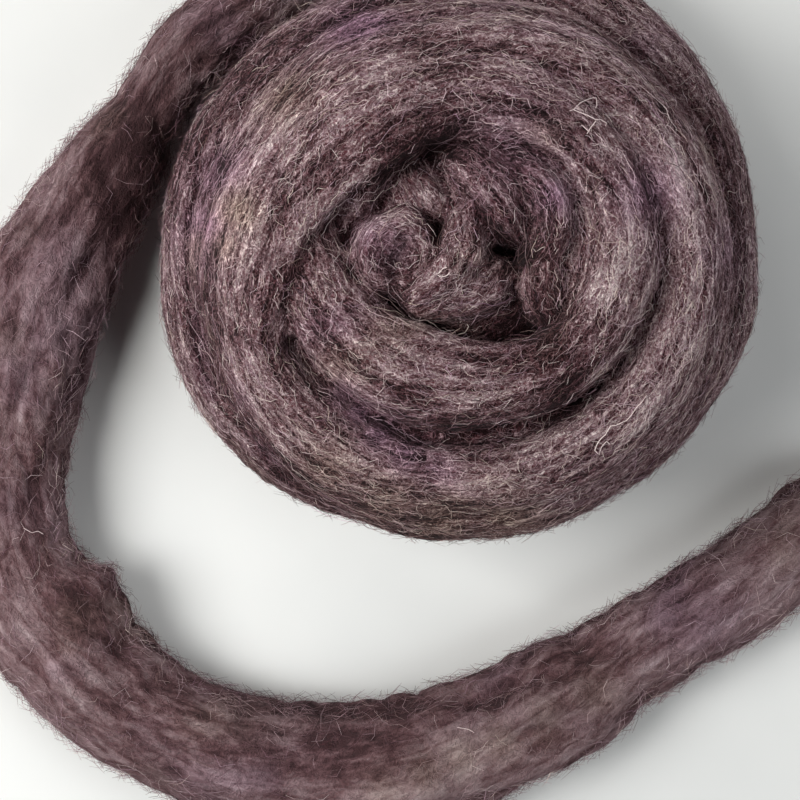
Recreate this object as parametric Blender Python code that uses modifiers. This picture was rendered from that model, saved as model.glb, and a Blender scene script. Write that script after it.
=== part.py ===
"""A ball of wool roving wound by hand, with its loose end lying round it.

Metres, +Z up. The ball rests on a small flat spot at z = 0, centred on the origin. Seen from above, the
strand winds outwards counterclockwise: out of the folds in the middle, round the top in broad rings, down
the sides, and off the back of the ball as the loose end, which lies flat on the surface down the left,
across the front and away to the right.
"""

import math
from typing import NamedTuple

import bmesh
import bpy
from mathutils import Matrix, Vector

MM = 0.001

# Driving dimensions of the ball: the rounded form that its turns lie against
BALL_RADIUS = 64 * MM
BALL_HEIGHT = 91 * MM
MIDDLE_HEIGHT = 44 * MM  # height of the widest level
ROUNDNESS = 2.3  # exponent of the ball's profile: 2 is an ellipse, more is boxier
CORE_SEGMENTS = 48
SKIN_VOXEL = 2.4 * MM  # size of the steps in which the wraps are merged into one skin
SKIN_SHARE = 0.36  # of the skin's faces that are kept

# Driving dimensions of the strand and its loose end
SECTION_SIDES = 20
STATION_SPACING = 6 * MM
END_ROUNDING = 0.5  # of the width, the length over which a buried strand end closes
END_MARGIN = 0.004  # of a wrap's length, left off at each end so that its last sections keep some size
CLEARANCE = 0.3 * MM
WELD = 0.001 * MM
MEASURING_STEPS = 200  # in which a wrap's length is measured
ROUTE_STEPS = 20  # between two points of the loose end's route
LONG_SWELL = 0.035  # of the section, and how far along the strand it takes to come and go
LONG_SWELL_REACH = 17 * MM
SHORT_SWELL = 0.03
SHORT_SWELL_REACH = 7.3 * MM
MOST_SWELL = 1.08  # thickest place of an uneven strand, against its even size
WRAP_PHASE = 1.7  # how far the swelling of each wrap is out of step with the wrap before
LOOSE_END_PHASE = 1.3
LOOSE_END_STATIONS = 66
RESTING_SHARE = 0.46  # of the strand's height, from the surface up to its middle
TORN_END_LENGTH = 34 * MM
TORN_END_SHARE = 0.30  # of the full section, left at the torn tip

# Sizes of the boxes that cut the flat spot and free the strand where it leaves the ball
FLAT_CUT = Vector((260, 260, 20)) * MM
EXIT_CUT = Vector((30, 34, 60)) * MM

WOOL_COLOUR = (0.150, 0.094, 0.104, 1.0)
WOOL_ROUGHNESS = 0.9

HALF_HEIGHT = BALL_HEIGHT - MIDDLE_HEIGHT

# The firm inside of the ball as a turned profile, bottom to top, in mm
CORE_PROFILE = (
    # radius, height
    (0, -3),
    (30, -3),
    (44, 10),
    (53, 28),
    (57, 45),
    (54, 58),
    (46, 69),
    (36, 75),
    (26, 71),
    (12, 69),
    (0, 69),
)


class Wrap(NamedTuple):
    """One turn, or part of one, of the strand: an arc whose sizes pass through a start, middle and end value.

    Lengths in mm and angles in degrees, counterclockwise from +X. width lies along the ball's surface and
    thickness stands out from it.
    """

    name: str
    centre: tuple
    start: float
    sweep: float
    radius: tuple
    height: tuple
    width: tuple
    thickness: tuple


WRAPS = (
    Wrap("foot", (0, 0), 20, 385, (40, 43, 41), (14, 14, 15), (24, 26, 24), (20, 20, 20)),
    Wrap("low_left", (0, 0), 40, 237, (54, 65, 46), (20, 30, 30), (26, 26, 22), (19, 22, 20)),
    Wrap("low_right", (0, 0), 268, 212, (50, 65, 90), (28, 24, 9), (24, 27, 20), (20, 24, 18.6)),
    Wrap("flank_low", (0, -1.2), -100, 380, (54, 56, 54), (34, 44, 36), (22, 22, 22), (18, 17, 18)),
    Wrap("flank_high", (0, 0), 185, 370, (51, 56, 56), (62, 57, 50), (20, 20, 20), (16, 16, 16)),
    Wrap("fan", (0, 0), 166, 108, (49, 51.5, 48), (66, 65.5, 70), (20, 27, 18), (14, 15, 14)),
    Wrap("ring_two", (2, 2), 216, 319, (49.5, 48.8, 45.5), (68, 73, 70), (16, 19, 20), (14, 14, 14)),
    Wrap("ring_three", (1, 5), 145, 178, (42.5, 32.3, 35), (69, 80, 79), (13, 21, 16), (13, 14, 13)),
    Wrap("ring_three_right", (1, 5), 284, 246, (34, 33.5, 31), (79, 80, 76), (16, 19, 18), (13, 14, 13)),
    Wrap("hollow", (1, 5), 244, 92, (19, 19, 18), (71, 71, 70), (13, 16, 13), (12, 12, 12)),
    Wrap("inner_ring", (3, 5), -48, 170, (24, 22, 20), (74, 77, 74), (16, 17, 13), (13, 14, 12)),
    Wrap("broad_band", (0, 0), 60, 150, (47, 43.5, 56), (66, 77.5, 57), (24, 35, 28), (13, 15, 14)),
    Wrap("curl", (-15.2, 1.8), -70, 340, (5.2, 5.6, 5), (77, 79, 77), (10, 10, 10), (12, 12, 12)),
    Wrap("ridge", (-17, 9), -78, 104, (17.5, 17.5, 18), (77, 80, 75), (10, 11, 10), (14, 14, 12)),
    Wrap("belly", (-4, 14), 232, 84, (20, 20.5, 19), (76, 78, 74), (9, 12, 10), (12, 13, 11)),
    Wrap("dip", (11, 27), 188, 46, (24, 24, 23), (72, 76, 70), (12, 13, 10), (12, 12, 10)),
    Wrap("lobe", (-14, 2), 62, -56, (25, 25.5, 27), (75, 81, 69), (12, 14, 11), (12, 13, 10)),
    Wrap("lilac_fold", (8, 9), 88, -150, (12, 11.5, 10.5), (77, 82, 75), (8, 9, 8), (12, 13, 11)),
    Wrap("lilac_end", (45, -4), 162, 36, (28, 28, 26.5), (76, 79, 73), (9, 10, 9), (12, 12, 11)),
)


class RoutePoint(NamedTuple):
    """A place along the loose end: its middle seen from above, its width and its height, all in mm."""

    x: float
    y: float
    width: float
    height: float


ROUTE = (
    RoutePoint(-23.7, 82.1, 19.4, 21),
    RoutePoint(-38, 80.5, 20, 21),
    RoutePoint(-53, 73.5, 21, 20),
    RoutePoint(-66, 64, 21, 19),
    RoutePoint(-76, 52.5, 20, 19),
    RoutePoint(-84.5, 38.5, 21, 19.5),
    RoutePoint(-96, 19, 27, 21),
    RoutePoint(-107.5, -4, 33, 23),
    RoutePoint(-113.5, -30, 31, 24),
    RoutePoint(-115.5, -53, 29, 23),
    RoutePoint(-111.5, -77, 30, 23),
    RoutePoint(-101.5, -93, 34, 24),
    RoutePoint(-84.5, -109, 33, 24),
    RoutePoint(-64, -120.5, 33, 24),
    RoutePoint(-42, -125.5, 35, 24),
    RoutePoint(-20, -125.5, 34, 24),
    RoutePoint(3, -119.5, 32, 23),
    RoutePoint(25, -109, 31, 22),
    RoutePoint(48, -95, 28, 22),
    RoutePoint(69, -81, 25, 20),
    RoutePoint(89, -68, 27, 20),
    RoutePoint(107, -57, 27, 19),
    RoutePoint(124, -47.5, 24, 17),
)


def through_three(values, t):
    """The smooth curve through a start, middle and end value, at t from 0 to 1."""
    start, middle, end = values
    bend = 2 * (start + end) - 4 * middle
    slope = end - start - bend
    return start + slope * t + bend * t * t


def outward(point):
    """The direction straight out of the ball's surface at a point near it."""
    x, y = point.x / BALL_RADIUS, point.y / BALL_RADIUS
    z = (point.z - MIDDLE_HEIGHT) / HALF_HEIGHT
    across = math.hypot(x, y) ** (ROUNDNESS - 2)
    up = abs(z) ** (ROUNDNESS - 2)
    return Vector((x * across / BALL_RADIUS, y * across / BALL_RADIUS, z * up / HALF_HEIGHT)).normalized()


def unevenness(distance, phase):
    """How much thicker or thinner a hand-drawn strand is at a distance along it, as a factor near 1."""
    long_swell = LONG_SWELL * math.sin(distance / LONG_SWELL_REACH + phase)
    short_swell = SHORT_SWELL * math.sin(distance / SHORT_SWELL_REACH + 2 * phase)
    return 1 + long_swell + short_swell


def wrap_point(wrap, t):
    """The middle of a wrap's section."""
    angle = math.radians(wrap.start + wrap.sweep * t)
    radius = through_three(wrap.radius, t)
    x = wrap.centre[0] + radius * math.cos(angle)
    y = wrap.centre[1] + radius * math.sin(angle)
    return MM * Vector((x, y, through_three(wrap.height, t)))


def end_share(distance, length, rounding):
    """How much of the full section is left near a strand's closed ends, from 0 to 1."""
    depth = min(distance, length - distance) / rounding
    return math.sqrt(max(0.0, 1 - (1 - min(depth, 1.0)) ** 2))


def section_matrix(middle, along, out, width, thickness):
    """Places a unit circle as a strand's section, flat side against the ball."""
    out = (out - along * out.dot(along)).normalized()
    across = along.cross(out)
    matrix = Matrix((across * width / 2, out * thickness / 2, along)).transposed().to_4x4()
    matrix.translation = middle
    return matrix


def wrap_sections(wrap, phase):
    """Section matrices along one wrap, closing to a rounded end where it dives into the ball."""
    points = [wrap_point(wrap, i / MEASURING_STEPS) for i in range(MEASURING_STEPS + 1)]
    length = sum((b - a).length for a, b in zip(points, points[1:]))
    count = max(6, round(length / STATION_SPACING))
    rounding = END_ROUNDING * wrap.width[1] * MM
    sections = []
    for i in range(count + 1):
        t = min(max(i / count, END_MARGIN), 1 - END_MARGIN)
        middle = wrap_point(wrap, t)
        along = (wrap_point(wrap, t + END_MARGIN) - wrap_point(wrap, t - END_MARGIN)).normalized()
        share = end_share(t * length, length, rounding) * unevenness(t * length, phase)
        width = through_three(wrap.width, t) * MM * share
        thickness = through_three(wrap.thickness, t) * MM * share
        sections.append(section_matrix(middle, along, outward(middle), width, thickness))
    return sections


def add_loft(bm, sections):
    """Skins a row of sections and closes both ends."""
    rings = [
        bmesh.ops.create_circle(bm, segments=SECTION_SIDES, radius=1.0, matrix=matrix)["verts"]
        for matrix in sections
    ]
    for near, far in zip(rings, rings[1:]):
        for i in range(SECTION_SIDES):
            j = (i + 1) % SECTION_SIDES
            bm.faces.new((near[i], near[j], far[j], far[i]))
    bm.faces.new(list(reversed(rings[0])))
    bm.faces.new(rings[-1])


def add_core(bm):
    """Turns the firm inside of the ball from its profile."""
    verts = [bm.verts.new((radius * MM, 0, height * MM)) for radius, height in CORE_PROFILE]
    edges = [bm.edges.new(pair) for pair in zip(verts, verts[1:])]
    bmesh.ops.spin(
        bm,
        geom=verts + edges,
        cent=(0, 0, 0),
        axis=(0, 0, 1),
        angle=2 * math.pi,
        steps=CORE_SEGMENTS,
        use_merge=True,
    )
    bmesh.ops.remove_doubles(bm, verts=bm.verts, dist=WELD)


def mesh_object(name, bm, collection):
    """Makes an object of a bmesh, its faces turned outwards."""
    bmesh.ops.recalc_face_normals(bm, faces=bm.faces)
    mesh = bpy.data.meshes.new(name)
    bm.to_mesh(mesh)
    bm.free()
    made = bpy.data.objects.new(name, mesh)
    collection.objects.link(made)
    return made


def cutter_box(name, size, matrix, collection):
    """A box that only cuts, drawn as wires."""
    bm = bmesh.new()
    bmesh.ops.create_cube(bm, size=1.0, matrix=matrix @ Matrix.Diagonal((*size, 1.0)))
    cutter = mesh_object(name, bm, collection)
    cutter.hide_render = True
    cutter.display_type = "WIRE"
    return cutter


def cut(target, cutter):
    """Takes the cutter's space out of the target."""
    boolean = target.modifiers.new(cutter.name, "BOOLEAN")
    boolean.operation = "DIFFERENCE"
    boolean.solver = "EXACT"
    boolean.object = cutter


def smooth_between(a, b, c, d, t):
    """The smooth curve through four points in a row, between the middle two, at t from 0 to 1."""
    bend = 2 * a - 5 * b + 4 * c - d
    twist = 3 * b - a - 3 * c + d
    return b + ((c - a) * t + bend * t * t + twist * t**3) / 2


def route_curve(count):
    """Evenly spaced rows (x, y, width, height) along the loose end's smooth route, and its length."""
    rows = [Vector(row) * MM for row in ROUTE]
    rows = [2 * rows[0] - rows[1], *rows, 2 * rows[-1] - rows[-2]]
    fine = []
    for a, b, c, d in zip(rows, rows[1:], rows[2:], rows[3:]):
        for step in range(ROUTE_STEPS):
            fine.append(smooth_between(a, b, c, d, step / ROUTE_STEPS))
    fine.append(rows[-2])
    reach = [0.0]
    for a, b in zip(fine, fine[1:]):
        reach.append(reach[-1] + (b.xy - a.xy).length)
    even = []
    k = 0
    for i in range(count):
        wanted = reach[-1] * i / (count - 1)
        while k < len(fine) - 2 and reach[k + 1] < wanted:
            k += 1
        even.append(fine[k].lerp(fine[k + 1], (wanted - reach[k]) / (reach[k + 1] - reach[k])))
    return even, reach[-1]


def loose_end_sections():
    """Section matrices of the loose end, thinning out to its torn tip."""
    rows, length = route_curve(LOOSE_END_STATIONS)
    sections = []
    for i, row in enumerate(rows):
        before, after = rows[max(i - 1, 0)], rows[min(i + 1, len(rows) - 1)]
        along = Vector((after.x - before.x, after.y - before.y, 0)).normalized()
        distance = length * i / (len(rows) - 1)
        left = min((length - distance) / TORN_END_LENGTH, 1.0)
        share = TORN_END_SHARE + (1 - TORN_END_SHARE) * math.sin(left * math.pi / 2)
        if i:
            share *= unevenness(distance, LOOSE_END_PHASE)
        width, height = row[2] * share, row[3] * share
        middle = Vector((row.x, row.y, height * RESTING_SHARE))
        sections.append(section_matrix(middle, along, Vector((0, 0, 1)), width, height))
    return sections


def make_ball(parts, cutters):
    """The wound ball: every wrap and the core merged into one skin, with a flat spot underneath."""
    bm = bmesh.new()
    add_core(bm)
    for number, wrap in enumerate(WRAPS):
        add_loft(bm, wrap_sections(wrap, WRAP_PHASE * number))
    ball = mesh_object("ball", bm, parts)
    skin = ball.modifiers.new("one_skin", "REMESH")
    skin.mode = "VOXEL"
    skin.voxel_size = SKIN_VOXEL
    skin.use_smooth_shade = True
    fewer = ball.modifiers.new("fewer_faces", "DECIMATE")
    fewer.ratio = SKIN_SHARE

    below = Matrix.Translation((0, 0, -FLAT_CUT.z / 2))
    cut(ball, cutter_box("flat_spot_cutter", FLAT_CUT, below, cutters))

    # The strand leaves the ball where the loose end's own first section stands.
    exit_section = loose_end_sections()[0]
    along = exit_section.col[2].xyz
    outer = Vector((along.y, -along.x, 0))
    inner_edge = ROUTE[0].width * MM / 2 * MOST_SWELL + CLEARANCE
    ahead = along * (EXIT_CUT.x / 2 - CLEARANCE)
    sideways = outer * (EXIT_CUT.y / 2 - inner_edge)
    centre = Matrix.Translation(exit_section.translation + ahead + sideways)
    exit_place = centre @ Matrix.Rotation(math.atan2(along.y, along.x), 4, "Z")
    cut(ball, cutter_box("exit_cutter", EXIT_CUT, exit_place, cutters))
    return ball


def make_loose_end(parts):
    """The loose end: one uneven strand, pressed flat where it lies on the surface."""
    bm = bmesh.new()
    add_loft(bm, loose_end_sections())
    for vert in bm.verts:
        vert.co.z = max(vert.co.z, 0.0)
    return mesh_object("loose_end", bm, parts)


def wool_material(name):
    """Dull plum-grey wool."""
    material = bpy.data.materials.new(name)
    material.use_nodes = True
    shader = material.node_tree.nodes["Principled BSDF"]
    shader.inputs["Base Color"].default_value = WOOL_COLOUR
    shader.inputs["Roughness"].default_value = WOOL_ROUGHNESS
    shader.inputs["Metallic"].default_value = 0.0
    material.diffuse_color = WOOL_COLOUR
    return material


def new_collection(name):
    """A collection in the scene."""
    collection = bpy.data.collections.new(name)
    bpy.context.scene.collection.children.link(collection)
    return collection


def main():
    """Clears the scene and builds the ball and its loose end."""
    for old in list(bpy.data.objects):
        bpy.data.objects.remove(old, do_unlink=True)
    parts = new_collection("wool_roving")
    cutters = new_collection("cutters")
    cutters.hide_render = True
    ball = make_ball(parts, cutters)
    ball.data.materials.append(wool_material("ball_wool"))
    loose_end = make_loose_end(parts)
    loose_end.data.materials.append(wool_material("loose_end_wool"))
    loose_end.data.shade_smooth()


main()
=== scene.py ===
"""A hand-wound ball of wool roving and its loose end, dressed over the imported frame.

Metres, +Z up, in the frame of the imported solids. The skins of the ball and of the loose end follow the
same strand as the solids do, and carry the wool's run in a UV map of their own: metres along the strand
and metres round it. Loose fibres are then grown over both skins in the direction of that run.
"""

from __future__ import annotations

import logging
import math
from dataclasses import dataclass, field, replace
from enum import Enum
from typing import Any, Callable, NamedTuple, Sequence

import bmesh
import bpy
import numpy as np
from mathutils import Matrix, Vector, noise
from mathutils.bvhtree import BVHTree


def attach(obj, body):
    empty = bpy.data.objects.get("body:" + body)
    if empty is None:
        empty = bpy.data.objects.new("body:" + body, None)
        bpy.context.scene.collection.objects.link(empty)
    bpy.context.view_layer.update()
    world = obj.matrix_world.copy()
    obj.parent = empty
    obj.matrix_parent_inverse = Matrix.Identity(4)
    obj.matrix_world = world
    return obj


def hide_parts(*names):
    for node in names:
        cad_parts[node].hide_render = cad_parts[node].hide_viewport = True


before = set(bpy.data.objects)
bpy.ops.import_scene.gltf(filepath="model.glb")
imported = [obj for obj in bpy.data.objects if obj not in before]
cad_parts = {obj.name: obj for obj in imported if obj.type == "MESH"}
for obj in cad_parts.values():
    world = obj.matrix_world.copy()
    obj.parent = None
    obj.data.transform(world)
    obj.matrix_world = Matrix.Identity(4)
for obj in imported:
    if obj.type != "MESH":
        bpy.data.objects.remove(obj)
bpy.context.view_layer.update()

log = logging.getLogger("wool_roving")

MM = 0.001
TINY = 1e-12  # keeps a division by a length of nothing from failing
Span = tuple[float, float, float]
Pixel = tuple[float, float]
Colour = tuple[float, float, float, float]

# The screen's tone curve: straight for the darkest values, and a power above them
SCREEN_KNEE = 0.04045
SCREEN_SLOPE = 12.92
SCREEN_OFFSET = 0.055
SCREEN_POWER = 2.4

# The photograph's framing, in its own pixels, and what a pixel measures at the ball's widest level
PHOTO_MIDDLE = (400, 400)
PIXEL = 0.24 * MM
PIXEL_LEVEL = 48 * MM
CAMERA_PLACE = Vector((-14.6, -30.0, 498.0)) * MM
SENSOR_WIDTH = 36.0

# The rounded form that the ball's turns lie against
BALL_RADIUS = 64 * MM
BALL_HEIGHT = 91 * MM
MIDDLE_HEIGHT = 44 * MM
HALF_HEIGHT = BALL_HEIGHT - MIDDLE_HEIGHT
ROUNDNESS = 2.3
CORE_SEGMENTS = 64

# The strand
END_ROUNDING = 0.5  # how far from its ends a turn is rounded off, as a share of its width
END_MARGIN = 0.004  # share of a turn that is left off at each end
WELD = 0.001 * MM
LONG_SWELL = 0.035  # how much thicker and thinner the strand gets, in long swells and in short ones
LONG_SWELL_REACH = 17 * MM
SHORT_SWELL = 0.03
SHORT_SWELL_REACH = 7.3 * MM
WRAP_PHASE = 1.7
LOOSE_END_PHASE = 1.3
RESTING_SHARE = 0.46  # height of the loose end's middle line above the floor, against its thickness
TORN_END_LENGTH = 34 * MM
TORN_END_SHARE = 0.30  # of the full section, at the torn tip
TUCKED_START_LENGTH = 14 * MM  # over which the loose end comes out of the turn that it goes on from
TUCKED_START_SHARE = 0.55  # of the full section, where it does
LOOSE_END_SEED = 71
NOISE_CELLS = 256
NEXT_PATTERN = 7.3  # cells by which each further pattern of ridges starts elsewhere
SEED_STEP = 11  # between the patterns of one strand and of the next
LOCK_CROWN = 1.9  # how far the locks stand out against the narrow valleys between them
LOCK_SHARPNESS = 0.6  # below 1 the valleys are narrow and the locks broad
STREAKS_ROUND = (29, 61)  # broad and fine streaks of lighter and darker wool round a strand
STREAK_REACH = (24 * MM, 11 * MM)
STREAK_TWIST = 1.3  # turns a metre
FINE_STREAK = 0.6  # strength of the fine streaks against the broad ones
MEASURING_STEPS = 200  # in which a turn's length is measured
STATION_SPACING = 2.5 * MM
FEWEST_STATIONS = 24
FEWEST_RINGS = 8
ROUTE_STEPS = 20  # between two points of the loose end's route

# The firm inside of the ball as a turned profile, bottom to top, in mm: radius, height
CORE_PROFILE = (
    (0, -3),
    (30, -3),
    (44, 10),
    (53, 28),
    (57, 45),
    (54, 58),
    (46, 69),
    (36, 75),
    (26, 71),
    (12, 69),
    (0, 69),
)

# The loose end's route from the ball to its torn end, in mm: x, y, width, height
ROUTE = (
    (-23.7, 82.1, 19.4, 21),
    (-38, 80.5, 20, 21),
    (-53, 73.5, 21, 20),
    (-66, 64, 21, 19),
    (-76, 52.5, 20, 19),
    (-84.5, 38.5, 21, 19.5),
    (-96, 19, 27, 21),
    (-107.5, -4, 33, 23),
    (-113.5, -30, 31, 24),
    (-115.5, -53, 29, 23),
    (-111.5, -77, 30, 23),
    (-101.5, -93, 34, 24),
    (-84.5, -109, 33, 24),
    (-64, -120.5, 33, 24),
    (-42, -125.5, 35, 24),
    (-20, -125.5, 34, 24),
    (3, -119.5, 32, 23),
    (25, -109, 31, 22),
    (48, -95, 28, 22),
    (69, -81, 25, 20),
    (89, -68, 27, 20),
    (107, -57, 27, 19),
    (124, -47.5, 24, 17),
)


def unit(vectors: np.ndarray) -> np.ndarray:
    """The same directions at length 1."""
    return vectors / np.maximum(np.linalg.norm(vectors, axis=-1, keepdims=True), TINY)


def dot(a: np.ndarray, b: np.ndarray) -> np.ndarray:
    """Row by row dot product, kept as a column."""
    return (a * b).sum(axis=-1, keepdims=True)


def linear_channel(shown: int) -> float:
    """One channel of a screen colour, 0 to 255, as the shader's linear one.

    Args:
        shown: The channel's value on the screen.

    Returns:
        The linear value, from 0 to 1.
    """
    share = shown / 255
    if share < SCREEN_KNEE:
        return share / SCREEN_SLOPE
    return ((share + SCREEN_OFFSET) / (1 + SCREEN_OFFSET)) ** SCREEN_POWER


def linear(red: int, green: int, blue: int) -> Colour:
    """A screen colour, 0 to 255 a channel, as the shader's linear one."""
    return (linear_channel(red), linear_channel(green), linear_channel(blue), 1.0)


def through_three(values: Span, t: np.ndarray) -> np.ndarray:
    """The smooth curve through a start, middle and end value.

    Args:
        values: The three values.
        t: Where to read the curve, from 0 to 1.

    Returns:
        The curve's value at each t.
    """
    start, middle, end = values
    bend = 2 * (start + end) - 4 * middle
    slope = end - start - bend
    return start + slope * t + bend * t * t


def smooth_between(
    a: np.ndarray,
    b: np.ndarray,
    c: np.ndarray,
    d: np.ndarray,
    t: np.ndarray,
) -> np.ndarray:
    """The curve from b to c that comes smoothly from a and goes on smoothly to d.

    Args:
        a: The point before the curve.
        b: Where it starts.
        c: Where it ends.
        d: The point after it.
        t: Where to read it, from 0 at b to 1 at c, as a column.

    Returns:
        A point of the curve for each t.
    """
    first = c - a
    second = 2 * a - 5 * b + 4 * c - d
    third = 3 * b - a - 3 * c + d
    return (2 * b + first * t + second * t**2 + third * t**3) / 2


def outward(points: np.ndarray) -> np.ndarray:
    """The directions straight out of the ball's surface.

    Args:
        points: Places near that surface, as rows of x, y and z.

    Returns:
        A direction of length 1 for each of them.
    """
    x, y = points[:, 0] / BALL_RADIUS, points[:, 1] / BALL_RADIUS
    z = (points[:, 2] - MIDDLE_HEIGHT) / HALF_HEIGHT
    across = np.hypot(x, y) ** (ROUNDNESS - 2)
    up = np.abs(z) ** (ROUNDNESS - 2)
    slopes = (x * across / BALL_RADIUS, y * across / BALL_RADIUS, z * up / HALF_HEIGHT)
    return unit(np.stack(slopes, axis=1))


def unevenness(distance: np.ndarray, phase: float) -> np.ndarray:
    """How much thicker or thinner a hand-drawn strand is along its length.

    Args:
        distance: Places along the strand, in metres.
        phase: Picks the pattern.

    Returns:
        Factors near 1.
    """
    long_swell = LONG_SWELL * np.sin(distance / LONG_SWELL_REACH + phase)
    short_swell = SHORT_SWELL * np.sin(distance / SHORT_SWELL_REACH + 2 * phase)
    return 1 + long_swell + short_swell


def smooth_noise(x: np.ndarray, y: np.ndarray, seed: int, period: int = NOISE_CELLS) -> np.ndarray:
    """Smooth noise from -1 to 1 on a plane.

    Args:
        x: First coordinate, one cell a unit.
        y: Second coordinate, which repeats after period cells.
        seed: Picks the pattern.
        period: Number of cells after which y repeats.

    Returns:
        The noise at each place.
    """
    table = np.random.default_rng(seed).uniform(-1, 1, (NOISE_CELLS, period))
    column, row = np.floor(x).astype(int), np.floor(y).astype(int)
    fx, fy = x - column, y - row
    fx, fy = fx * fx * (3 - 2 * fx), fy * fy * (3 - 2 * fy)
    left, right = column % NOISE_CELLS, (column + 1) % NOISE_CELLS
    low, high = row % period, (row + 1) % period
    near = table[left, low] * (1 - fx) + table[right, low] * fx
    far = table[left, high] * (1 - fx) + table[right, high] * fx
    return near * (1 - fy) + far * fy


class Ridge(NamedTuple):
    """The small locks that a strand is made of, as ridges that run along it."""

    cells: int  # round the strand
    reach: float  # how far one runs before it fades, in metres
    height: float  # as a share of the strand's radius
    twist: float  # turns a metre


class Bulge(NamedTuple):
    """A soft lump on one side of a strand."""

    distance: float  # along the strand, in metres
    angle: float  # round it, in radians from the side towards the outer face
    length: float  # along the strand, in metres
    spread: float  # round the strand, in radians
    height: float  # as a share of the strand's radius, below 0 for a hollow


@dataclass
class Strand:
    """A strand sampled along its middle line, with its flattened sections and the forms on them.

    Its width is measured along the surface that carries it, and its thickness straight out of that surface.
    """

    middle: np.ndarray
    out: np.ndarray
    width: np.ndarray
    thickness: np.ndarray
    ridges: Sequence[Ridge]
    seed: int
    bulges: Sequence[Bulge] = ()
    along: np.ndarray = field(init=False)
    across: np.ndarray = field(init=False)
    reach: np.ndarray = field(init=False)

    def __post_init__(self) -> None:
        """Works out the frame of every section and the distance along the strand."""
        self.along = unit(np.gradient(self.middle, axis=0))
        self.out = unit(self.out - self.along * dot(self.out, self.along))
        self.across = np.cross(self.along, self.out)
        steps = np.linalg.norm(np.diff(self.middle, axis=0), axis=1)
        self.reach = np.concatenate(([0.0], np.cumsum(steps)))

    @property
    def length(self) -> float:
        """Length of the middle line in metres."""
        return float(self.reach[-1])

    @property
    def girth_radius(self) -> float:
        """Radius of a round strand about as thick as this one."""
        return float((np.median(self.width) + np.median(self.thickness)) / 4)

    def relief(self, distance: np.ndarray, angle: np.ndarray) -> np.ndarray:
        """How far the locks and bulges stand out of the even section.

        Args:
            distance: Places along the strand, in metres.
            angle: Places round it, in radians from the side towards the outer face.

        Returns:
            A share of the section's radius for each place.
        """
        total = np.zeros_like(distance)
        for number, ridge in enumerate(self.ridges):
            onward = distance / ridge.reach + NEXT_PATTERN * number
            turn = angle / (2 * math.pi) + ridge.twist * distance
            seed = self.seed * SEED_STEP + number
            pattern = smooth_noise(onward, turn * ridge.cells, seed, ridge.cells)
            total += ridge.height * (LOCK_CROWN * np.abs(pattern) ** LOCK_SHARPNESS - 1)
        for bulge in self.bulges:
            ahead = (distance - bulge.distance) / bulge.length
            beside = ((angle - bulge.angle + math.pi) % (2 * math.pi) - math.pi) / bulge.spread
            total += bulge.height * np.exp(-(ahead**2) - beside**2)
        return total

    def streak(self, distance: np.ndarray, angle: np.ndarray) -> np.ndarray:
        """How light or dark the wool's streaks are.

        Args:
            distance: Places along the strand, in metres.
            angle: Places round it, in radians from the side towards the outer face.

        Returns:
            A number for each place, above 0 for light streaks and below it for dark ones.
        """
        turn = angle / (2 * math.pi) + STREAK_TWIST * distance
        broad, fine = (
            smooth_noise(distance / reach, turn * cells, self.seed * SEED_STEP + cells, cells)
            for reach, cells in zip(STREAK_REACH, STREAKS_ROUND)
        )
        return broad + FINE_STREAK * fine

    def surface(self, share: np.ndarray, angle: np.ndarray) -> np.ndarray:
        """Points of the strand's surface.

        Args:
            share: Places along the strand, from 0 to 1.
            angle: Places round it, in radians from the side towards the outer face.

        Returns:
            The points in metres.
        """
        distance = share * self.length

        def at(values: np.ndarray) -> np.ndarray:
            """The strand's own values, read between its samples."""
            if values.ndim == 1:
                return np.interp(distance, self.reach, values)
            return np.stack([np.interp(distance, self.reach, column) for column in values.T], axis=1)

        swell = 1 + self.relief(distance, angle)
        sideways = (at(self.width) / 2 * np.cos(angle) * swell)[:, None] * at(self.across)
        outwards = (at(self.thickness) / 2 * np.sin(angle) * swell)[:, None] * at(self.out)
        return at(self.middle) + sideways + outwards

    def add_tube(self, bm: bmesh.types.BMesh, spacing: float, sides: int) -> None:
        """Bends a grid round the strand, welds its seam and closes its ends.

        Args:
            bm: The mesh that takes the tube.
            spacing: Length of a face along the strand.
            sides: Faces round the strand.
        """
        known = set(bm.verts)
        steps = max(FEWEST_RINGS, round(self.length / spacing))
        bmesh.ops.create_grid(bm, x_segments=steps, y_segments=sides, size=0.5)
        fresh = [vert for vert in bm.verts if vert not in known]
        flat = np.array([vert.co for vert in fresh])
        points = self.surface(flat[:, 0] + 0.5, 2 * math.pi * flat[:, 1])
        for vert, point in zip(fresh, points):
            vert.co = point
        bmesh.ops.remove_doubles(bm, verts=fresh, dist=WELD)
        rims = [edge for edge in bm.edges if edge.is_boundary]
        bmesh.ops.holes_fill(bm, edges=rims, sides=0)

    def locate(self, points: np.ndarray) -> tuple[np.ndarray, np.ndarray, np.ndarray, np.ndarray]:
        """Where points lie on the strand.

        Args:
            points: Rows of x, y and z.

        Returns:
            The nearest sample, the distance along the strand, the angle round it, and how far out the
            points lie in shares of the section.
        """
        squares = (points**2).sum(axis=1)[:, None] + (self.middle**2).sum(axis=1)
        nearest = (squares - 2 * points @ self.middle.T).argmin(axis=1)
        offset = points - self.middle[nearest]
        ahead = dot(offset, self.along[nearest])[:, 0]
        sideways = dot(offset, self.across[nearest])[:, 0] / (self.width[nearest] / 2)
        outwards = dot(offset, self.out[nearest])[:, 0] / (self.thickness[nearest] / 2)
        beyond = np.abs(ahead) / (self.thickness[nearest] / 2)
        at_end = (nearest == 0) | (nearest == len(self.middle) - 1)
        share = np.sqrt(sideways**2 + outwards**2 + np.where(at_end, beyond**2, 0))
        return nearest, self.reach[nearest] + ahead, np.arctan2(outwards, sideways), share


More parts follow.
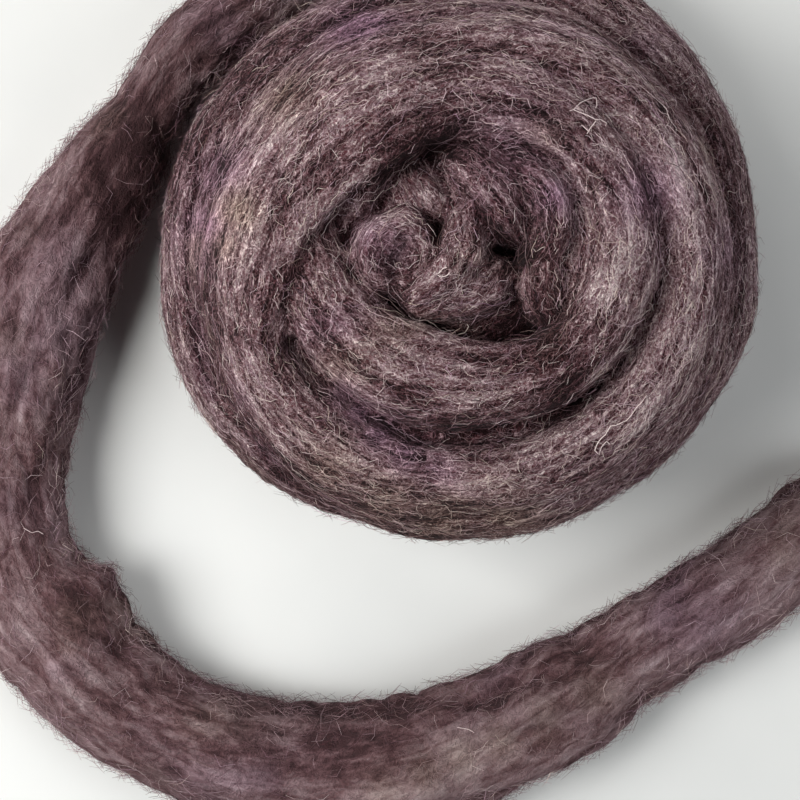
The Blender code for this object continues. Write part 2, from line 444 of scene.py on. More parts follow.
def end_share(distance: np.ndarray, length: float, rounding: float) -> np.ndarray:
    """How much of the full section is left near a strand's closed ends.

    Args:
        distance: Places along the strand.
        length: The strand's length.
        rounding: How far from its ends it is rounded off.

    Returns:
        A share from 0 to 1 for each place.
    """
    depth = np.minimum(distance, length - distance) / rounding
    return np.sqrt(np.maximum(0.0, 1 - (1 - np.minimum(depth, 1.0)) ** 2))


# The locks of the strand in the ball, and in the loose end, whose last row makes its soft lumps
BALL_RIDGES = (
    Ridge(cells=7, reach=46 * MM, height=0.085, twist=1.5),
    Ridge(cells=15, reach=26 * MM, height=0.060, twist=-2.0),
    Ridge(cells=31, reach=15 * MM, height=0.035, twist=3.0),
)
LOOSE_END_RIDGES = (
    Ridge(cells=6, reach=30 * MM, height=0.115, twist=2.0),
    Ridge(cells=13, reach=18 * MM, height=0.070, twist=-3.0),
    Ridge(cells=29, reach=11 * MM, height=0.040, twist=4.0),
    Ridge(cells=5, reach=10 * MM, height=0.028, twist=1.0),
)
# The shoulder on the loose end's inner side, and the hollow before it
LOOSE_END_BULGES = (
    Bulge(distance=212 * MM, angle=2.9, length=11.0 * MM, spread=0.8, height=0.20),
    Bulge(distance=180 * MM, angle=2.9, length=12.0 * MM, spread=0.8, height=-0.10),
)


class Turn(NamedTuple):
    """One turn of the strand, or part of one: an arc with sizes at its start, in its middle and at its end.

    Its lengths are in mm, and its angles in degrees, counterclockwise from +X.
    """

    name: str
    centre: tuple[float, float]
    start: float
    sweep: float
    radius: Span
    height: Span
    width: Span
    thickness: Span

    def points(self, t: np.ndarray) -> np.ndarray:
        """The turn's middle line.

        Args:
            t: Where to read it, from 0 to 1.

        Returns:
            A point in metres for each t.
        """
        angle = np.radians(self.start + self.sweep * t)
        radius = through_three(self.radius, t)
        x = self.centre[0] + radius * np.cos(angle)
        y = self.centre[1] + radius * np.sin(angle)
        return MM * np.stack((x, y, through_three(self.height, t)), axis=1)

    def strand(self, number: int) -> Strand:
        """This turn as a strand.

        Args:
            number: Its place in the list of turns, on which its swelling and its locks depend.

        Returns:
            The strand with its sections.
        """
        measured = self.points(np.linspace(0, 1, MEASURING_STEPS))
        length = float(np.linalg.norm(np.diff(measured, axis=0), axis=1).sum())
        stations = max(FEWEST_STATIONS, round(length / STATION_SPACING))
        t = np.linspace(END_MARGIN, 1 - END_MARGIN, stations)
        rounding = END_ROUNDING * self.width[1] * MM
        share = end_share(t * length, length, rounding) * unevenness(t * length, WRAP_PHASE * number)
        middle = self.points(t)
        return Strand(
            middle=middle,
            out=outward(middle),
            width=through_three(self.width, t) * MM * share,
            thickness=through_three(self.thickness, t) * MM * share,
            ridges=BALL_RIDGES,
            seed=number + 1,
        )


# The turns, from the foot up to the folds in the middle: name, centre, start, sweep, and then the radius
# of the arc, the height, the width and the thickness, each at the start, in the middle and at the end
TURNS = (
    Turn("foot", (0, 0), 20, 385, (40, 43, 41), (14, 14, 15), (24, 26, 24), (20, 20, 20)),
    Turn("low_left", (0, 0), 40, 237, (54, 65, 46), (20, 30, 30), (26, 26, 22), (19, 22, 20)),
    Turn("low_right", (0, 0), 268, 212, (50, 65, 90), (28, 24, 9), (24, 27, 20), (20, 24, 18.6)),
    Turn("flank_low", (0, -1.2), -100, 380, (54, 56, 54), (34, 44, 36), (22, 22, 22), (18, 17, 18)),
    Turn("flank_high", (0, 0), 185, 370, (51, 56, 56), (62, 57, 50), (20, 20, 20), (16, 16, 16)),
    Turn("fan", (0, 0), 166, 108, (49, 51.5, 48), (66, 65.5, 70), (20, 27, 18), (14, 15, 14)),
    Turn("ring_two", (2, 2), 216, 319, (49.5, 48.8, 45.5), (68, 73, 70), (16, 19, 20), (14, 14, 14)),
    Turn("ring_three", (1, 5), 145, 178, (42.5, 32.3, 35), (69, 80, 79), (13, 21, 16), (13, 14, 13)),
    Turn("ring_three_right", (1, 5), 284, 246, (34, 33.5, 31), (79, 80, 76), (16, 19, 18), (13, 14, 13)),
    Turn("hollow", (1, 5), 244, 92, (19, 19, 18), (71, 71, 70), (13, 16, 13), (12, 12, 12)),
    Turn("inner_ring", (3, 5), -48, 170, (24, 22, 20), (74, 77, 74), (16, 17, 13), (13, 14, 12)),
    Turn("broad_band", (0, 0), 60, 150, (47, 43.5, 56), (66, 77.5, 57), (24, 35, 28), (13, 15, 14)),
    Turn("curl", (-15.2, 1.8), -70, 340, (5.2, 5.6, 5), (77, 79, 77), (10, 10, 10), (12, 12, 12)),
    Turn("ridge", (-17, 9), -78, 104, (17.5, 17.5, 18), (77, 80, 75), (10, 11, 10), (14, 14, 12)),
    Turn("belly", (-4, 14), 232, 84, (20, 20.5, 19), (76, 78, 74), (9, 12, 10), (12, 13, 11)),
    Turn("dip", (11, 27), 188, 46, (24, 24, 23), (72, 76, 70), (12, 13, 10), (12, 12, 10)),
    Turn("lobe", (-14, 2), 62, -56, (25, 25.5, 27), (75, 81, 69), (12, 14, 11), (12, 13, 10)),
    Turn("lilac_fold", (8, 9), 88, -150, (12, 11.5, 10.5), (77, 82, 75), (8, 9, 8), (12, 13, 11)),
    Turn("lilac_end", (45, -4), 162, 36, (28, 28, 26.5), (76, 79, 73), (9, 10, 9), (12, 12, 11)),
    Turn("tuft", (-15.2, 1.8), 98, 78, (13.2, 13.6, 13), (71, 74.5, 70), (7, 9, 7), (10, 11, 10)),
    Turn("hollow_floor", (8, -10), 62, 56, (13, 13, 13), (67, 69.5, 67), (9, 11, 9), (9, 10, 9)),
)


class Socket:
    """An output of a node, which takes part in Python arithmetic by adding Math nodes."""

    def __init__(self, bench: Bench, output: bpy.types.NodeSocket) -> None:
        """Wraps an output of one of the bench's nodes."""
        self.bench = bench
        self.output = output

    def _with(self, operation: str, first: Value, second: Value) -> Socket:
        """A Math node on two values."""
        node = self.bench.node("ShaderNodeMath", {"operation": operation}, {0: first, 1: second})
        return Socket(self.bench, node.outputs[0])

    def __add__(self, other: Value) -> Socket:
        """self + other"""
        return self._with("ADD", self, other)

    def __radd__(self, other: Value) -> Socket:
        """other + self"""
        return self._with("ADD", other, self)

    def __sub__(self, other: Value) -> Socket:
        """self - other"""
        return self._with("SUBTRACT", self, other)

    def __rsub__(self, other: Value) -> Socket:
        """other - self"""
        return self._with("SUBTRACT", other, self)

    def __mul__(self, other: Value) -> Socket:
        """self * other"""
        return self._with("MULTIPLY", self, other)

    def __rmul__(self, other: Value) -> Socket:
        """other * self"""
        return self._with("MULTIPLY", other, self)

    def most(self, other: Value) -> Socket:
        """The larger of the two."""
        return self._with("MAXIMUM", self, other)

    def line(self, sharpness: float) -> Socket:
        """1 where noise is at its middle, falling to 0 a little way off it."""
        away = self._with("ABSOLUTE", self - NOISE_MIDDLE, 0.0)
        return (1.0 - away * sharpness).most(0.0)


Value = Socket | float
NOISE_MIDDLE = 0.5
RUN_MAP = "wool_run"  # the UV map that holds metres along the strand and round it
BAKE_MAP = "OFBake"  # the UV map on which the fibres' colours are baked


class Bench:
    """A material's node tree, with the few ways in which this script adds to it."""

    def __init__(self, name: str) -> None:
        """Starts a material that holds one Principled BSDF.

        Args:
            name: The material's name.
        """
        self.material = bpy.data.materials.new(name)
        self.material.use_nodes = True
        self.tree = self.material.node_tree
        self.shader = self.tree.nodes["Principled BSDF"]

    def node(self, kind: str, settings: dict[str, Any], inputs: dict[str | int, Any]) -> bpy.types.Node:
        """Adds a node.

        Args:
            kind: The node's type.
            settings: Its properties, set first. A ramp's stops are given as "stops".
            inputs: Values or links of its sockets, by name or number.

        Returns:
            The new node.
        """
        made = self.tree.nodes.new(kind)
        for key, value in settings.items():
            if key == "stops":
                self._set_stops(made.color_ramp, value)
            else:
                setattr(made, key, value)
        for key, value in inputs.items():
            self.feed(made.inputs[key], value)
        return made

    @staticmethod
    def _set_stops(ramp: bpy.types.ColorRamp, stops: Sequence[tuple[float, Colour]]) -> None:
        """Gives a ramp its stops.

        Args:
            ramp: The ramp of a node.
            stops: Positions from 0 to 1 with their colours, in order.
        """
        while len(ramp.elements) < len(stops):
            ramp.elements.new(0.5)
        for element, (position, colour) in zip(ramp.elements, stops):
            element.position = position
            element.color = colour

    def feed(self, target: bpy.types.NodeSocket, value: Any) -> None:
        """Links an input to a socket, or sets its value.

        Args:
            target: The input.
            value: A Socket, or what the input holds.
        """
        if isinstance(value, Socket):
            self.tree.links.new(value.output, target)
        else:
            target.default_value = value

    def attribute(self, name: str) -> Socket:
        """A number that the mesh holds at its points."""
        settings = {"attribute_type": "GEOMETRY", "attribute_name": name}
        return Socket(self, self.node("ShaderNodeAttribute", settings, {}).outputs["Fac"])

    def run(self) -> Socket:
        """Metres along the strand and round it."""
        node = self.node("ShaderNodeUVMap", {"uv_map": RUN_MAP}, {})
        return Socket(self, node.outputs["UV"])

    def place(self) -> Socket:
        """The piece's own coordinates in metres."""
        node = self.node("ShaderNodeTexCoord", {}, {})
        return Socket(self, node.outputs["Object"])

    def noise(
        self,
        where: Socket,
        size: Span,
        turn: float = 0.0,
        detail: float = 2.0,
        distortion: float = 0.0,
        roughness: float = 0.55,
    ) -> Socket:
        """Noise whose features have the given size.

        Args:
            where: The coordinates it is read at.
            size: Length of a feature along each coordinate, in metres.
            turn: Angle by which it is turned about the third axis, in degrees.
            detail: Octaves.
            distortion: How much it is bent out of shape.
            roughness: Weight of the finer octaves.

        Returns:
            The noise, around 0.5.
        """
        mapped = self.node(
            "ShaderNodeMapping",
            {"vector_type": "TEXTURE"},
            {"Vector": where, "Rotation": (0.0, 0.0, math.radians(turn)), "Scale": size},
        )
        node = self.node(
            "ShaderNodeTexNoise",
            {"noise_dimensions": "3D"},
            {
                "Vector": Socket(self, mapped.outputs["Vector"]),
                "Scale": 1.0,
                "Detail": detail,
                "Roughness": roughness,
                "Distortion": distortion,
            },
        )
        return Socket(self, node.outputs["Fac"])

    def ramp(self, factor: Socket, stops: Sequence[tuple[float, Colour]]) -> Socket:
        """A colour picked by a number."""
        node = self.node("ShaderNodeValToRGB", {"stops": stops}, {"Fac": factor})
        return Socket(self, node.outputs["Color"])

    def mix(
        self,
        factor: Value,
        first: Socket | Colour,
        second: Socket | Colour,
        way: Blend,
    ) -> Socket:
        """Two colours mixed.

        Args:
            factor: How much of the second colour there is, from 0 to 1.
            first: The colour at 0.
            second: The colour at 1.
            way: How the second colour takes over.

        Returns:
            The mixed colour.
        """
        settings = {"data_type": "RGBA", "blend_type": way.value}
        node = self.node("ShaderNodeMix", settings, {0: factor, 6: first, 7: second})
        return Socket(self, node.outputs[2])

    def bump(self, height: Socket, distance: float) -> Socket:
        """A surface raised by up to a distance where the number is 1."""
        inputs = {"Strength": 1.0, "Distance": distance, "Height": height}
        return Socket(self, self.node("ShaderNodeBump", {}, inputs).outputs["Normal"])


class Blend(Enum):
    """How one colour takes over from another: as it is, or only its hue and saturation."""

    PLAIN = "MIX"
    HUE_ALONE = "COLOR"


class Tone(Enum):
    """The wool's colours as they look on the screen, down to the near-black of painted shade deep between
    its fibres.
    """

    # painted shade deep between the fibres
    GAP_SHADE = linear(24, 5, 6)
    PLUM = linear(86, 49, 54)
    MAUVE = linear(133, 102, 107)
    PALE = linear(187, 162, 166)
    BRIGHT = linear(238, 222, 219)
    LILAC = linear(150, 108, 140)
    TAN = linear(122, 108, 74)
    DUST = linear(146, 140, 138)
    BLOOM = linear(205, 190, 196)


# The heather from the painted shade deep in the gaps between its fibres to its palest hairs
HEATHER_STOPS = (
    (0.0, Tone.GAP_SHADE.value),
    (0.25, Tone.PLUM.value),
    (0.50, Tone.MAUVE.value),
    (0.78, Tone.PALE.value),
    (1.0, Tone.BRIGHT.value),
)

# How far the colour goes towards lilac and tan where the wool leans there fully, and the places of that
# hue that are scattered over it all
LILAC_LEAN = 0.6
TAN_LEAN = 0.36
LILAC_SEED = 5
TAN_SEED = 9
SCATTER_REACH = np.array((16, 14, 11)) * MM
SCATTER_ABOVE = 0.45  # height of the noise above which a place shows
SCATTER_GAIN = 0.9

# The wool's gloss
SPECULAR = 0.10
SHEEN = 0.10
SHEEN_ROUGHNESS = 0.55
SKIN_ROUGHNESS = 0.96
HAIR_POLISH = 0.2  # how much less rough a skin is along its hairs
FIBRE_ROUGHNESS = 0.62
UNEVEN_POLISH = 0.2  # how uneven the roughness of a fibre is

# The patterns of a skin. Their sizes are along the strand and round it, and the grain's are in space
HAIR_SPREAD = 0.1  # how much wider each further layer of hairs is spaced
HAIR_FADE = 0.08  # and how much fainter it is
HAIR_BEND = 0.9
HAIR_RELIEF = 0.5  # against the relief of the locks
GLINT_SIZE = (2.2 * MM, 0.7 * MM, 1.0)  # places where the hairs come up to the light
GLINT_GAIN = 1.5
GLINT_CUT = 0.2
PARTING_SIZE = (30 * MM, 3.4 * MM, 1.0)
PARTING_SHARPNESS = 13.0
GRAIN_SIZE = (0.45 * MM, 0.45 * MM, 0.45 * MM)
# painted shade in the creases between the turns
CREASE_PAINTED_SHADE = 0.30
SHADE_DARKNESS = 0.60


@dataclass(frozen=True)
class SkinFinish:
    """The mat of fibres that a skin shows: fine pale hairs that cross over dark gaps."""

    name: str
    hair: tuple[float, float] = (3.2 * MM, 0.95 * MM)  # spacing of the hairs along and across
    sharpness: float = 30.0  # how thin the hairs are
    crossings: Sequence[float] = (6.0, 27.0, -21.0, 54.0, -64.0)  # degrees off the wool's run
    grain: float = 0.7  # how uneven the fine fuzz between the hairs is
    lock: tuple[float, float] = (16.0 * MM, 1.1 * MM)  # size of a lock along and across
    locks: float = 0.9  # how much the locks differ in tone
    parting_shade: float = 0.34  # how dark the painted shade in the long thin partings between locks is
    valley_shade: float = 0.22  # how dark the painted shade in the valleys between ridges is
    relief: float = 0.5 * MM
    base: float = 0.305  # tone of the wool under the hairs
    contrast: float = 1.1  # what a hair adds to that
    streaks_and_painted_light: float = 0.17  # how much the streaks, with the painted light and shade of the patches in them, differ in tone
    darkest: float = 0.0  # tone that the painted shade in the gaps doesn't go below
    clouds: float = 0.6  # how much lighter and darker places differ in tone
    cloud: tuple[float, float] = (16.0 * MM, 7.0 * MM)  # size of such a place along and across
    dust: float = 0.0  # how far its pale places go towards the colour of dust

    def material(self) -> bpy.types.Material:
        """The finish as a material.

        Returns:
            A new material.
        """
        bench = Bench(self.name)
        run, place = bench.run(), bench.place()
        hairs = None
        for number, turn in enumerate(self.crossings):
            size = (self.hair[0], self.hair[1] * (1 + HAIR_SPREAD * number), 1.0)
            thin = bench.noise(run, size, turn, detail=1.0, distortion=HAIR_BEND).line(self.sharpness)
            layer = thin * (1.0 - HAIR_FADE * number)
            hairs = layer if hairs is None else hairs.most(layer)
        lit = bench.noise(run, GLINT_SIZE, turn=12.0, detail=2.0, distortion=0.5)
        locks = bench.noise(run, (*self.lock, 1.0), turn=2.0, detail=2.0, distortion=0.4)
        # the partings between locks, which take painted shade
        parted = bench.noise(run, PARTING_SIZE, turn=3.0, detail=1.0, distortion=0.6)
        partings = parted.line(PARTING_SHARPNESS)
        clouds = bench.noise(run, (*self.cloud, 1.0), turn=8.0, detail=3.0, distortion=1.1)
        grain = bench.noise(place, GRAIN_SIZE, detail=1.0)
        combed = 1.0 - bench.attribute("ruffle")
        depth = hairs * (lit * GLINT_GAIN - GLINT_CUT) * self.contrast + self.base
        depth = depth + (locks - NOISE_MIDDLE) * combed * self.locks - partings * combed * self.parting_shade
        depth = depth + (clouds - NOISE_MIDDLE) * self.clouds + (grain - NOISE_MIDDLE) * self.grain
        # the streaks carry the patches of painted light and painted shade
        depth = depth + bench.attribute("streak") * self.streaks_and_painted_light
        # painted shade in the creases between the turns
        depth = depth - bench.attribute("crease_shade") * CREASE_PAINTED_SHADE
        # painted shade in the valleys between the locks
        depth = depth - bench.attribute("valley_shade") * self.valley_shade
        depth = depth - bench.attribute("shade") * SHADE_DARKNESS
        depth = depth.most(self.darkest)
        heather = leaning_colour(bench, bench.ramp(depth, HEATHER_STOPS))
        if self.dust:
            heather = bench.mix(depth * self.dust, heather, Tone.DUST.value, Blend.PLAIN)
        bench.feed(bench.shader.inputs["Base Color"], heather)
        bench.feed(bench.shader.inputs["Roughness"], SKIN_ROUGHNESS - hairs * HAIR_POLISH)
        bench.feed(bench.shader.inputs["Normal"], bench.bump(hairs * HAIR_RELIEF + locks, self.relief))
        wool_gloss(bench)
        return bench.material


def leaning_colour(bench: Bench, colour: Socket) -> Socket:
    """The heather where it leans to lilac or to tan."""
    colour = bench.mix(bench.attribute("lilac") * LILAC_LEAN, colour, Tone.LILAC.value, Blend.HUE_ALONE)
    return bench.mix(bench.attribute("tan") * TAN_LEAN, colour, Tone.TAN.value, Blend.HUE_ALONE)


def wool_gloss(bench: Bench) -> None:
    """Gives wool its low gloss and the pale bloom at its edges.

    Args:
        bench: The node tree of the wool's material.
    """
    bench.feed(bench.shader.inputs["Specular IOR Level"], SPECULAR)
    bench.feed(bench.shader.inputs["Sheen Weight"], SHEEN)
    bench.feed(bench.shader.inputs["Sheen Roughness"], SHEEN_ROUGHNESS)
    bench.feed(bench.shader.inputs["Sheen Tint"], Tone.BLOOM.value)


MOTTLE = 0.35  # how uneven a fibre's tone is along it
MOTTLE_SIZE = (1.8 * MM, 1.8 * MM, 1.8 * MM)


@dataclass(frozen=True)
class FibreFinish:
    """Single fibres: each has its own tone, from dark plum to nearly white, a little uneven along it."""

    name: str

    def material(self) -> bpy.types.Material:
        """The finish as a material.

        Returns:
            A new material.
        """
        bench = Bench(self.name)
        mottle = bench.noise(bench.place(), MOTTLE_SIZE, detail=1.0)
        tone = bench.attribute("tint") + (mottle - NOISE_MIDDLE) * MOTTLE
        colour = bench.ramp(tone, HEATHER_STOPS)
        bench.feed(bench.shader.inputs["Base Color"], leaning_colour(bench, colour))
        bench.feed(bench.shader.inputs["Roughness"], FIBRE_ROUGHNESS + mottle * UNEVEN_POLISH)
        wool_gloss(bench)
        return bench.material


class Patch(NamedTuple):
    """A round place, fading out at its edge, where the wool differs from the rest."""

    x: float  # of its middle, in the photograph's pixels, as y is
    y: float
    size: float  # radius in mm at which about a third of it is left
    strength: float  # in its middle, from 0 to 1


# Where the wool leans to lilac, and where to tan
LILAC_PATCHES = (
    # the band at the left and the turn behind it
    Patch(x=200, y=230, size=9, strength=1.0),
    Patch(x=215, y=170, size=9, strength=0.7),
    Patch(x=350, y=10, size=9, strength=1.0),
    # along the crease between the front rings
    Patch(x=343, y=393, size=4, strength=0.8),
    Patch(x=360, y=412, size=4, strength=0.9),
    Patch(x=380, y=432, size=5, strength=0.9),
    Patch(x=405, y=454, size=5, strength=0.9),
    Patch(x=435, y=470, size=5, strength=0.7),
    # the right of the hollow and the ring outside it
    Patch(x=515, y=155, size=12, strength=0.5),
    Patch(x=548, y=205, size=5, strength=0.9),
    Patch(x=640, y=200, size=8, strength=0.8),
    Patch(x=740, y=250, size=9, strength=0.5),
    # the curl
    Patch(x=370, y=240, size=5, strength=0.5),
    Patch(x=385, y=250, size=6, strength=0.5),
    # the loose end
    Patch(x=60, y=260, size=12, strength=0.4),
    Patch(x=290, y=690, size=16, strength=0.4),
    Patch(x=700, y=620, size=12, strength=0.6),
)
TAN_PATCHES = (
    # the band and the fan at the left
    Patch(x=285, y=100, size=7, strength=0.6),
    Patch(x=238, y=215, size=6, strength=1.0),
    Patch(x=190, y=240, size=5, strength=0.8),
    Patch(x=225, y=245, size=5, strength=0.9),
    Patch(x=345, y=370, size=6, strength=0.5),
    # the lowest turns in front
    Patch(x=330, y=470, size=8, strength=0.6),
    Patch(x=385, y=505, size=9, strength=0.7),
    Patch(x=440, y=525, size=10, strength=0.8),
    Patch(x=500, y=528, size=10, strength=0.6),
    # the outer side of the loose end in front
    Patch(x=385, y=790, size=7, strength=0.5),
    Patch(x=425, y=772, size=6, strength=0.6),
    Patch(x=460, y=757, size=6, strength=0.6),
    Patch(x=500, y=740, size=6, strength=0.6),
    Patch(x=545, y=718, size=6, strength=0.6),
    Patch(x=595, y=692, size=7, strength=0.5),
)

# Where painted shade makes it darker than the rest: hollows, gaps, creases and the lower flank
PAINTED_SHADE_PATCHES = (
    # the back of the hollow, under the broad band
    Patch(x=330, y=165, size=6, strength=0.3),
    Patch(x=387, y=173, size=4, strength=0.7),
    Patch(x=402, y=158, size=7, strength=0.9),
    Patch(x=432, y=148, size=7, strength=1.0),
    Patch(x=465, y=150, size=7, strength=0.5),
    Patch(x=460, y=180, size=9, strength=0.3),
    Patch(x=505, y=150, size=13, strength=0.3),
    Patch(x=527, y=208, size=5, strength=0.45),
    # the gaps between the folds
    Patch(x=396, y=250, size=7, strength=0.22),
    Patch(x=432, y=232, size=4, strength=0.8),
    Patch(x=495, y=232, size=6, strength=0.8),
    Patch(x=508, y=256, size=6, strength=1.0),
    Patch(x=510, y=290, size=4, strength=0.6),
    Patch(x=523, y=326, size=9, strength=1.0),
    Patch(x=540, y=342, size=6, strength=0.6),
    Patch(x=566, y=318, size=5, strength=0.5),
    Patch(x=486, y=350, size=5, strength=0.5),
    # the gap at the left of the curl
    Patch(x=292, y=278, size=4, strength=0.5),
    Patch(x=340, y=237, size=3, strength=0.7),
    Patch(x=360, y=271, size=4, strength=0.6),
    Patch(x=390, y=303, size=4, strength=0.6),
    # the crease between the front rings, and the turns below it
    Patch(x=400, y=420, size=4, strength=0.6),
    Patch(x=425, y=427, size=4, strength=0.7),
    Patch(x=450, y=432, size=4, strength=0.9),
    Patch(x=475, y=431, size=4, strength=0.8),
    Patch(x=503, y=424, size=4, strength=0.7),
    Patch(x=531, y=415, size=4, strength=0.7),
    Patch(x=559, y=407, size=4, strength=0.8),
    Patch(x=420, y=512, size=14, strength=0.14),
    # where the loose end passes behind the ball
    Patch(x=150, y=150, size=14, strength=1.0),
    Patch(x=125, y=210, size=10, strength=1.0),
    Patch(x=230, y=50, size=10, strength=0.5),
    # the loose end, where it is darker: partly darker wool, partly painted shade
    Patch(x=100, y=590, size=9, strength=0.5),
    Patch(x=160, y=700, size=16, strength=0.35),
    Patch(x=250, y=725, size=12, strength=0.25),
    Patch(x=330, y=722, size=14, strength=0.4),
    Patch(x=395, y=715, size=12, strength=0.4),
    Patch(x=470, y=695, size=10, strength=0.3),
    Patch(x=560, y=660, size=9, strength=0.3),
    Patch(x=690, y=560, size=9, strength=0.4),
)

# Where its fibres lie at all angles: the curl, all of the folds, and the hollow in front of them
RUFFLED_PATCHES = (
    Patch(x=394, y=256, size=7, strength=1.0),
    Patch(x=430, y=250, size=22, strength=0.4),
    Patch(x=520, y=325, size=9, strength=0.5),
)

# Where painted light makes it lighter than the rest: highlights on the folds and rings, and light in a deep
# hole
PAINTED_LIGHT_PATCHES = (
    # the band and the fan at the left
    Patch(x=262, y=120, size=9, strength=0.5),
    Patch(x=215, y=240, size=10, strength=0.7),
    Patch(x=180, y=240, size=11, strength=0.9),
    Patch(x=362, y=216, size=5, strength=0.9),
    Patch(x=225, y=350, size=8, strength=0.4),
    Patch(x=215, y=420, size=12, strength=0.6),
    Patch(x=350, y=400, size=8, strength=0.5),
    # the turns at the back
    Patch(x=470, y=25, size=9, strength=0.6),
    Patch(x=510, y=60, size=18, strength=0.7),
    Patch(x=600, y=60, size=14, strength=0.5),
    Patch(x=625, y=128, size=12, strength=0.55),
    # the rings at the right
    Patch(x=553, y=205, size=6, strength=1.0),
    Patch(x=600, y=300, size=11, strength=0.7),
    Patch(x=640, y=275, size=13, strength=0.4),
    Patch(x=665, y=225, size=13, strength=0.5),
    Patch(x=690, y=190, size=14, strength=0.7),
    Patch(x=720, y=270, size=14, strength=0.6),
    Patch(x=690, y=330, size=16, strength=0.6),
    Patch(x=720, y=350, size=12, strength=0.4),
    Patch(x=640, y=400, size=9, strength=0.4),
    # the rings in front
    Patch(x=362, y=416, size=4, strength=0.5),
    Patch(x=386, y=440, size=6, strength=0.7),
    Patch(x=414, y=458, size=7, strength=0.8),
    Patch(x=440, y=472, size=6, strength=0.6),
    Patch(x=480, y=400, size=8, strength=0.4),
    # the loose end: painted light, with paler wool on its outer side in front
    Patch(x=70, y=330, size=16, strength=0.5),
    Patch(x=30, y=400, size=16, strength=0.4),
    Patch(x=60, y=420, size=12, strength=0.4),
    Patch(x=740, y=600, size=16, strength=0.6),
    Patch(x=700, y=640, size=18, strength=0.2),
    Patch(x=385, y=792, size=7, strength=0.3),
    Patch(x=425, y=774, size=6, strength=0.45),
    Patch(x=460, y=759, size=6, strength=0.5),
    Patch(x=500, y=742, size=6, strength=0.5),
    Patch(x=545, y=720, size=6, strength=0.5),
    Patch(x=595, y=694, size=7, strength=0.4),
)


def from_photo(x: float, y: float, level: float = PIXEL_LEVEL) -> Vector:
    """The place under a pixel of the photograph.

    Args:
        x: Pixels from the photograph's left edge.
        y: Pixels from its top edge.
        level: Height above the surface, in metres.

    Returns:
        The place in metres.
    """
    scale = PIXEL * (CAMERA_PLACE.z - level) / (CAMERA_PLACE.z - PIXEL_LEVEL)
    east = CAMERA_PLACE.x + (x - PHOTO_MIDDLE[0]) * scale
    north = CAMERA_PLACE.y + (PHOTO_MIDDLE[1] - y) * scale
    return Vector((east, north, level))


BALL_PIXEL: Pixel = (458, 275)  # the ball's middle in the photograph
BALL_SPAN = 295  # how far it reaches from there, in pixels
PATCH_LEVELS = (70 * MM, 20 * MM)  # usual height of what shows, on the ball and on the loose end


def patched(points: np.ndarray, patches: Sequence[Patch]) -> np.ndarray:
    """How strongly patches show at points.

    Args:
        points: Rows of x, y and z.
        patches: Places of the photograph.

    Returns:
        A share from 0 to 1 for each point, the strongest patch's where several meet.
    """
    total = np.zeros(len(points))
    for patch in patches:
        beside = math.dist((patch.x, patch.y), BALL_PIXEL) > BALL_SPAN
        centre = np.array(from_photo(patch.x, patch.y, PATCH_LEVELS[beside]))
        gap = ((points[:, :2] - centre[:2]) ** 2).sum(axis=1) / (patch.size * MM) ** 2
        total = np.maximum(total, patch.strength * np.exp(-gap))
    return total


def leaning(points: np.ndarray, patches: Sequence[Patch], seed: int) -> np.ndarray:
    """How far the heather leans to one colour at points, from 0 to 1.

    Args:
        points: Rows of x, y and z.
        patches: Where it does so on the side that the photograph shows.
        seed: Picks the scattered rest.

    Returns:
        A share for each point.
    """
    total = patched(points, patches)
    x, y, z = (points / SCATTER_REACH).T
    spread = smooth_noise(x + z, y, seed)
    return np.clip(total + np.maximum(0, spread - SCATTER_ABOVE) * SCATTER_GAIN, 0, 1)


def store(mesh: bpy.types.Mesh, name: str, values: np.ndarray) -> None:
    """Keeps a number for every point of a mesh, as an attribute of that name."""
    made = mesh.attributes.new(name, "FLOAT", "POINT")
    made.data.foreach_set("value", np.asarray(values, dtype=np.float32))


def read_numbers(items: Any, name: str, kind: type = np.int32) -> np.ndarray:
    """One number of every vertex, corner or face of a mesh.

    Args:
        items: The mesh's list of them.
        name: Which number.
        kind: Its type.

    Returns:
        The numbers in the order of the list.
    """
    numbers = np.empty(len(items), dtype=kind)
    items.foreach_get(name, numbers)
    return numbers


def read_vectors(items: Any, name: str) -> np.ndarray:
    """One vector of every vertex or face of a mesh.

    Args:
        items: The mesh's list of them.
        name: Which vector.

    Returns:
        Rows of x, y and z in the order of the list.
    """
    flat = np.empty(3 * len(items), dtype=np.float32)
    items.foreach_get(name, flat)
    return flat.reshape(-1, 3).astype(float)


RUN_SHIFT = 0.731  # metres by which the run of each further strand starts elsewhere in the patterns
SEAM_WIDTH = 0.10  # how far the seam between two strands, with its painted shade, reaches, as a share of their section
VALLEY_DEPTH = 0.14  # share of the strand's radius at which the painted shade in a valley between locks is at its darkest
PATCH_PAINTED_LIGHT = 1.4  # what a patch of painted light adds to the streaks
PATCH_PAINTED_SHADE = 2.8  # what a patch of painted shade takes from them
FIBRE_STREAKS = 0.14  # how far the tone of the fibres follows the streaks under them, with their painted light and shade
FIBRE_SHADE = 0.55  # how much darker they are in the shade
FIBRE_SEAM_SHADE = 0.18  # and along the seams, where painted shade darkens the creases
SKY_RAYS = 10
SKY_LEAN = 40.0  # degrees between every other of those rays and straight up, the rest lean half as far
SKY_REACH = 22 * MM
SKY_START = 0.4 * MM  # above the wool
LOWEST_SHADED = -0.2  # upward part of the normals of the faces that are tested


